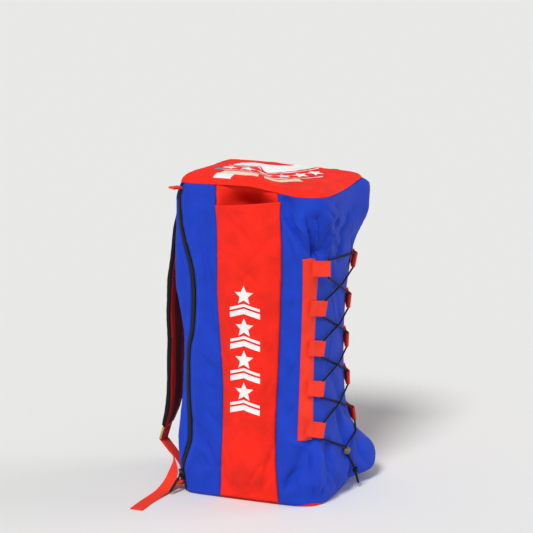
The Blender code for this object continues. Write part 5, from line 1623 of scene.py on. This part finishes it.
def add_webbing(side):
    rows, turn = webbing_rows(side)
    path = []
    for i, (point, twist) in enumerate(rows):
        ahead, behind = rows[min(i + 1, len(rows) - 1)][0], rows[max(i - 1, 0)][0]
        heading = (ahead - behind).normalized()
        quarter = twist * math.pi / 2
        wide = Vector((math.cos(quarter), -turn * math.sin(quarter), 0))
        wide = (wide - heading * wide.dot(heading)).normalized()
        path.append((point, wide, heading.cross(wide).normalized()))
    name, node = "strap_webbing_woven_" + side, "strap_webbing_" + side
    add_ribbon(name, path, STRAP_WEBBING, WEBBING_WALL, "red_webbing", nodes=[node])


def add_link(side):
    """The short webbing round the buckle's top bar."""
    at = buckle_frame(side)
    centre = BUCKLE_BAR / 2 + LAY_GAP + WEBBING_WALL / 2
    top = BUCKLE_HEIGHT / 2 + LINK_LENGTH - LAY_GAP
    middle = BUCKLE_HEIGHT / 2 - BUCKLE_BAR / 2
    leg = [top + (middle - top) * k / 5 for k in range(5)]
    path = [(up, -centre) for up in leg]
    path += [(middle - up, out) for up, out in half_turn(0.0, 0.0, centre, 12)]
    path += [(up, centre) for up in leg[::-1]]
    rows = ribbon_rows(Frame(at.origin, at.up, at.along, at.out), path, -1)
    name, node = "strap_link_woven_" + side, "strap_link_" + side
    add_ribbon(name, rows, STRAP_WEBBING, WEBBING_WALL, "red_webbing", nodes=[node])


# Prints: plain shapes laid on the cloth


def around_middle(middle, reach, angle):
    return middle[0] + reach * math.cos(angle), middle[1] + reach * math.sin(angle)


def star(middle, radius, turn=0.0):
    angles = [math.pi / 2 + math.pi * k / 5 + turn for k in range(10)]
    return [around_middle(middle, radius * (0.45 if k % 2 else 1), angle) for k, angle in enumerate(angles)]


def chevron(middle, width, tall, slope):
    x, y = middle
    half = width / 2
    return [
        (x - half, y - slope), (x, y), (x + half, y - slope),
        (x + half, y - slope + tall), (x, y + tall), (x - half, y - slope + tall),
    ]


def arc_band(middle, low, high, start, stop, steps=40):
    angles = [math.radians(start + (stop - start) * k / steps) for k in range(steps + 1)]
    inner = [around_middle(middle, low, angle) for angle in angles]
    return inner + [around_middle(middle, high, angle) for angle in angles[::-1]]


def patch(left, low, right, high):
    return [(left, low), (right, low), (right, high), (left, high)]


def add_print(name, shapes, look, lay):
    """Flat shapes cut fine and laid on the cloth by a function of their own two coordinates."""
    work = bmesh.new()
    for shape in shapes:
        work.faces.new([work.verts.new((x, y, 0.0)) for x, y in shape])
    bmesh.ops.triangulate(work, faces=work.faces[:])
    for _ in range(7):
        long = [edge for edge in work.edges if edge.calc_length() > 0.0042]
        if not long:
            break
        bmesh.ops.subdivide_edges(work, edges=long, cuts=1)
        bmesh.ops.triangulate(work, faces=[f for f in work.faces if len(f.verts) > 3])
    work.verts.index_update()
    vertices = [lay(v.co.x, v.co.y) for v in work.verts]
    faces = [tuple(v.index for v in f.verts) for f in work.faces]
    work.free()
    kept = [f for f in faces if all(vertices[k] is not None for k in f)]
    used = sorted({k for f in kept for k in f})
    back = {k: i for i, k in enumerate(used)}
    faces = [tuple(back[k] for k in f) for f in kept]
    add_piece(name, [vertices[k] for k in used], faces, look, slot="red_cloth")


def lay_on_sleeve(y, z):
    """A sleeve print's point: its own coordinates are forward along the side and up."""
    around = side_middle(z / BODY_HEIGHT, "left") + y
    height = level_share(around, z)
    out = cloth_axes(around, height)[2]
    return on_piece("bat_sleeve_left", cloth(around, height), out, 0.00035)[0]


def lay_on_top(x, y):
    hit, normal, _, _ = TREES["top_panel"].ray_cast(Vector((x, y, 1.0)), Vector((0, 0, -1)))
    if hit is None:
        return None
    return hit + (normal if normal.z > 0 else -normal) * 0.0004


# The sleeve's print: its middle forward on the side, its ends, and each unit's chevrons as (rise, height)
PRINT_MIDDLE = -0.011
PRINT_LOW, PRINT_HIGH, PRINT_UNITS = 0.183, 0.437, 4
PRINT_WIDTH = 0.062
CHEVRONS = ((0.010, 0.0105), (0.0245, 0.0055))
CHEVRON_SLOPE = 0.010
STAR_RISE, STAR_RADIUS = 0.0455, 0.0195


def add_sleeve_print():
    """A column of stars over pairs of chevrons."""
    shapes = []
    pitch = (PRINT_HIGH - PRINT_LOW) / PRINT_UNITS
    for i in range(PRINT_UNITS):
        low = PRINT_LOW + pitch * i
        for rise, tall in CHEVRONS:
            shapes.append(chevron((PRINT_MIDDLE, low + rise), PRINT_WIDTH, tall, CHEVRON_SLOPE))
        shapes.append(star((PRINT_MIDDLE, low + STAR_RISE), STAR_RADIUS))
    add_print("sleeve_print", shapes, "white_print", lay_on_sleeve)


# The crown's print: bands about one middle as (inner and outer radius, first and last degree), a row of stars
# as (radius of the row, first degree, step), and bare patches by their corners
ARC_MIDDLE = (0.120, 0.070)
WHITE_BANDS = ((0.084, 0.122, 170, 262), (0.129, 0.133, 168, 258), (0.181, 0.185, 170, 240))
CREAM_BANDS = ((0.193, 0.219, 178, 198), (0.193, 0.219, 201, 221))
TOP_STARS = (0.157, 176, 13)
TOP_STAR_COUNT, TOP_STAR_RADIUS = 6, 0.0185
WHITE_PATCH = (-0.119, 0.047, -0.096, 0.082)
GREY_PATCH = (-0.070, 0.086, -0.048, 0.100)


def add_top_print():
    """Pale bands in wide arcs with a row of stars between them, a blank patch and a small dark one."""
    white = [arc_band(ARC_MIDDLE, *band) for band in WHITE_BANDS]
    reach, first, step = TOP_STARS
    for k in range(TOP_STAR_COUNT):
        angle = math.radians(first + step * k)
        white.append(star(around_middle(ARC_MIDDLE, reach, angle), TOP_STAR_RADIUS, angle + math.pi / 2))
    add_print("top_print_white", white, "white_print", lay_on_top)
    cream = [arc_band(ARC_MIDDLE, *band) for band in CREAM_BANDS]
    add_print("top_print_cream", cream, "cream_print", lay_on_top)
    add_print("top_patch_white", [patch(*WHITE_PATCH)], "white_print", lay_on_top)
    add_print("top_patch_grey", [patch(*GREY_PATCH)], "grey_print", lay_on_top)


# Floor, light and camera


FLOOR_REACH = 60.0
FLOOR_COLOUR = (0.80, 0.80, 0.785, 1.0)
SKY_COLOUR = (0.98, 0.99, 1.0, 1.0)
SKY_STRENGTH = 0.34


def add_stage():
    """A wide pale floor under an even, dim sky."""
    mesh = bpy.data.meshes.new("floor")
    corners = [(x * FLOOR_REACH, y * FLOOR_REACH, 0) for x, y in ((-1, -1), (1, -1), (1, 1), (-1, 1))]
    mesh.from_pydata(corners, [], [(0, 1, 2, 3)])
    made, shader = new_material("pale_floor", 1.0)
    shader.inputs["Base Color"].default_value = FLOOR_COLOUR
    shader.inputs["Specular IOR Level"].default_value = 0.0
    mesh.materials.append(made)
    new_object("floor", mesh)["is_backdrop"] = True
    world = bpy.data.worlds.new("studio")
    world.use_nodes = True
    shade = world.node_tree.nodes["Background"]
    shade.inputs["Color"].default_value = SKY_COLOUR
    shade.inputs["Strength"].default_value = SKY_STRENGTH
    bpy.context.scene.world = world


# Suns: name, where from, power and softness in degrees
LIGHTS = (
    ("key", (-0.72, 0.02, 0.80), 2.5, 16.0),
    ("front_fill", (0.45, -0.85, 0.30), 0.95, 30.0),
)


def add_lights():
    for name, place, power, softness in LIGHTS:
        light = bpy.data.lights.new(name, "SUN")
        light.energy = power
        light.angle = math.radians(softness)
        new_object(name, light).rotation_euler = (-Vector(place)).to_track_quat("-Z", "Y").to_euler()


def add_camera():
    camera = bpy.data.cameras.new("camera")
    camera.lens = CAMERA_LENS
    camera.sensor_width = CAMERA_SENSOR
    item = new_object("camera", camera)
    azimuth, elevation = math.radians(CAMERA_AZIMUTH), math.radians(CAMERA_ELEVATION)
    back = Vector((math.sin(azimuth), -math.cos(azimuth), 0)) * math.cos(elevation)
    back.z = math.sin(elevation)
    right = Vector((math.cos(azimuth), math.sin(azimuth), 0))
    turned = Matrix((right, back.cross(right), back)).transposed().to_4x4()
    turned.translation = CAMERA_PLACE
    item.matrix_world = turned
    bpy.context.scene.camera = item


add_camera()
add_stage()
add_lights()
bpy.context.scene.view_settings.view_transform = "Standard"
add_body()
add_top()
add_bottom()
add_zip_tape()
add_zip_teeth()
add_zip_stitches()
add_hem_stitches()
add_hardware()
folded_tab(
    "zip_tab_top_webbing", "zip_tab_top", ZIP_TAB_TOP, 0.0, -math.radians(ZIP_TAB_TILT), ZIP_PROUD + LAY_GAP
)
folded_tab("zip_tab_bottom_webbing", "zip_tab_bottom", ZIP_TAB_BOTTOM, -ZIP_TAB_BESIDE, 0.0, RUN_GAP)
add_lace_strips()
add_loops()
add_lock()
add_cords()
for strap_side in ("left", "right"):
    add_padded_strap(strap_side)
    add_webbing(strap_side)
    add_link(strap_side)
add_sleeve_print()
add_top_print()

boxes = {"cad": cad_box, "visual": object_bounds()}
{key: [[float(v) for v in corner] for corner in box] for key, box in boxes.items()}
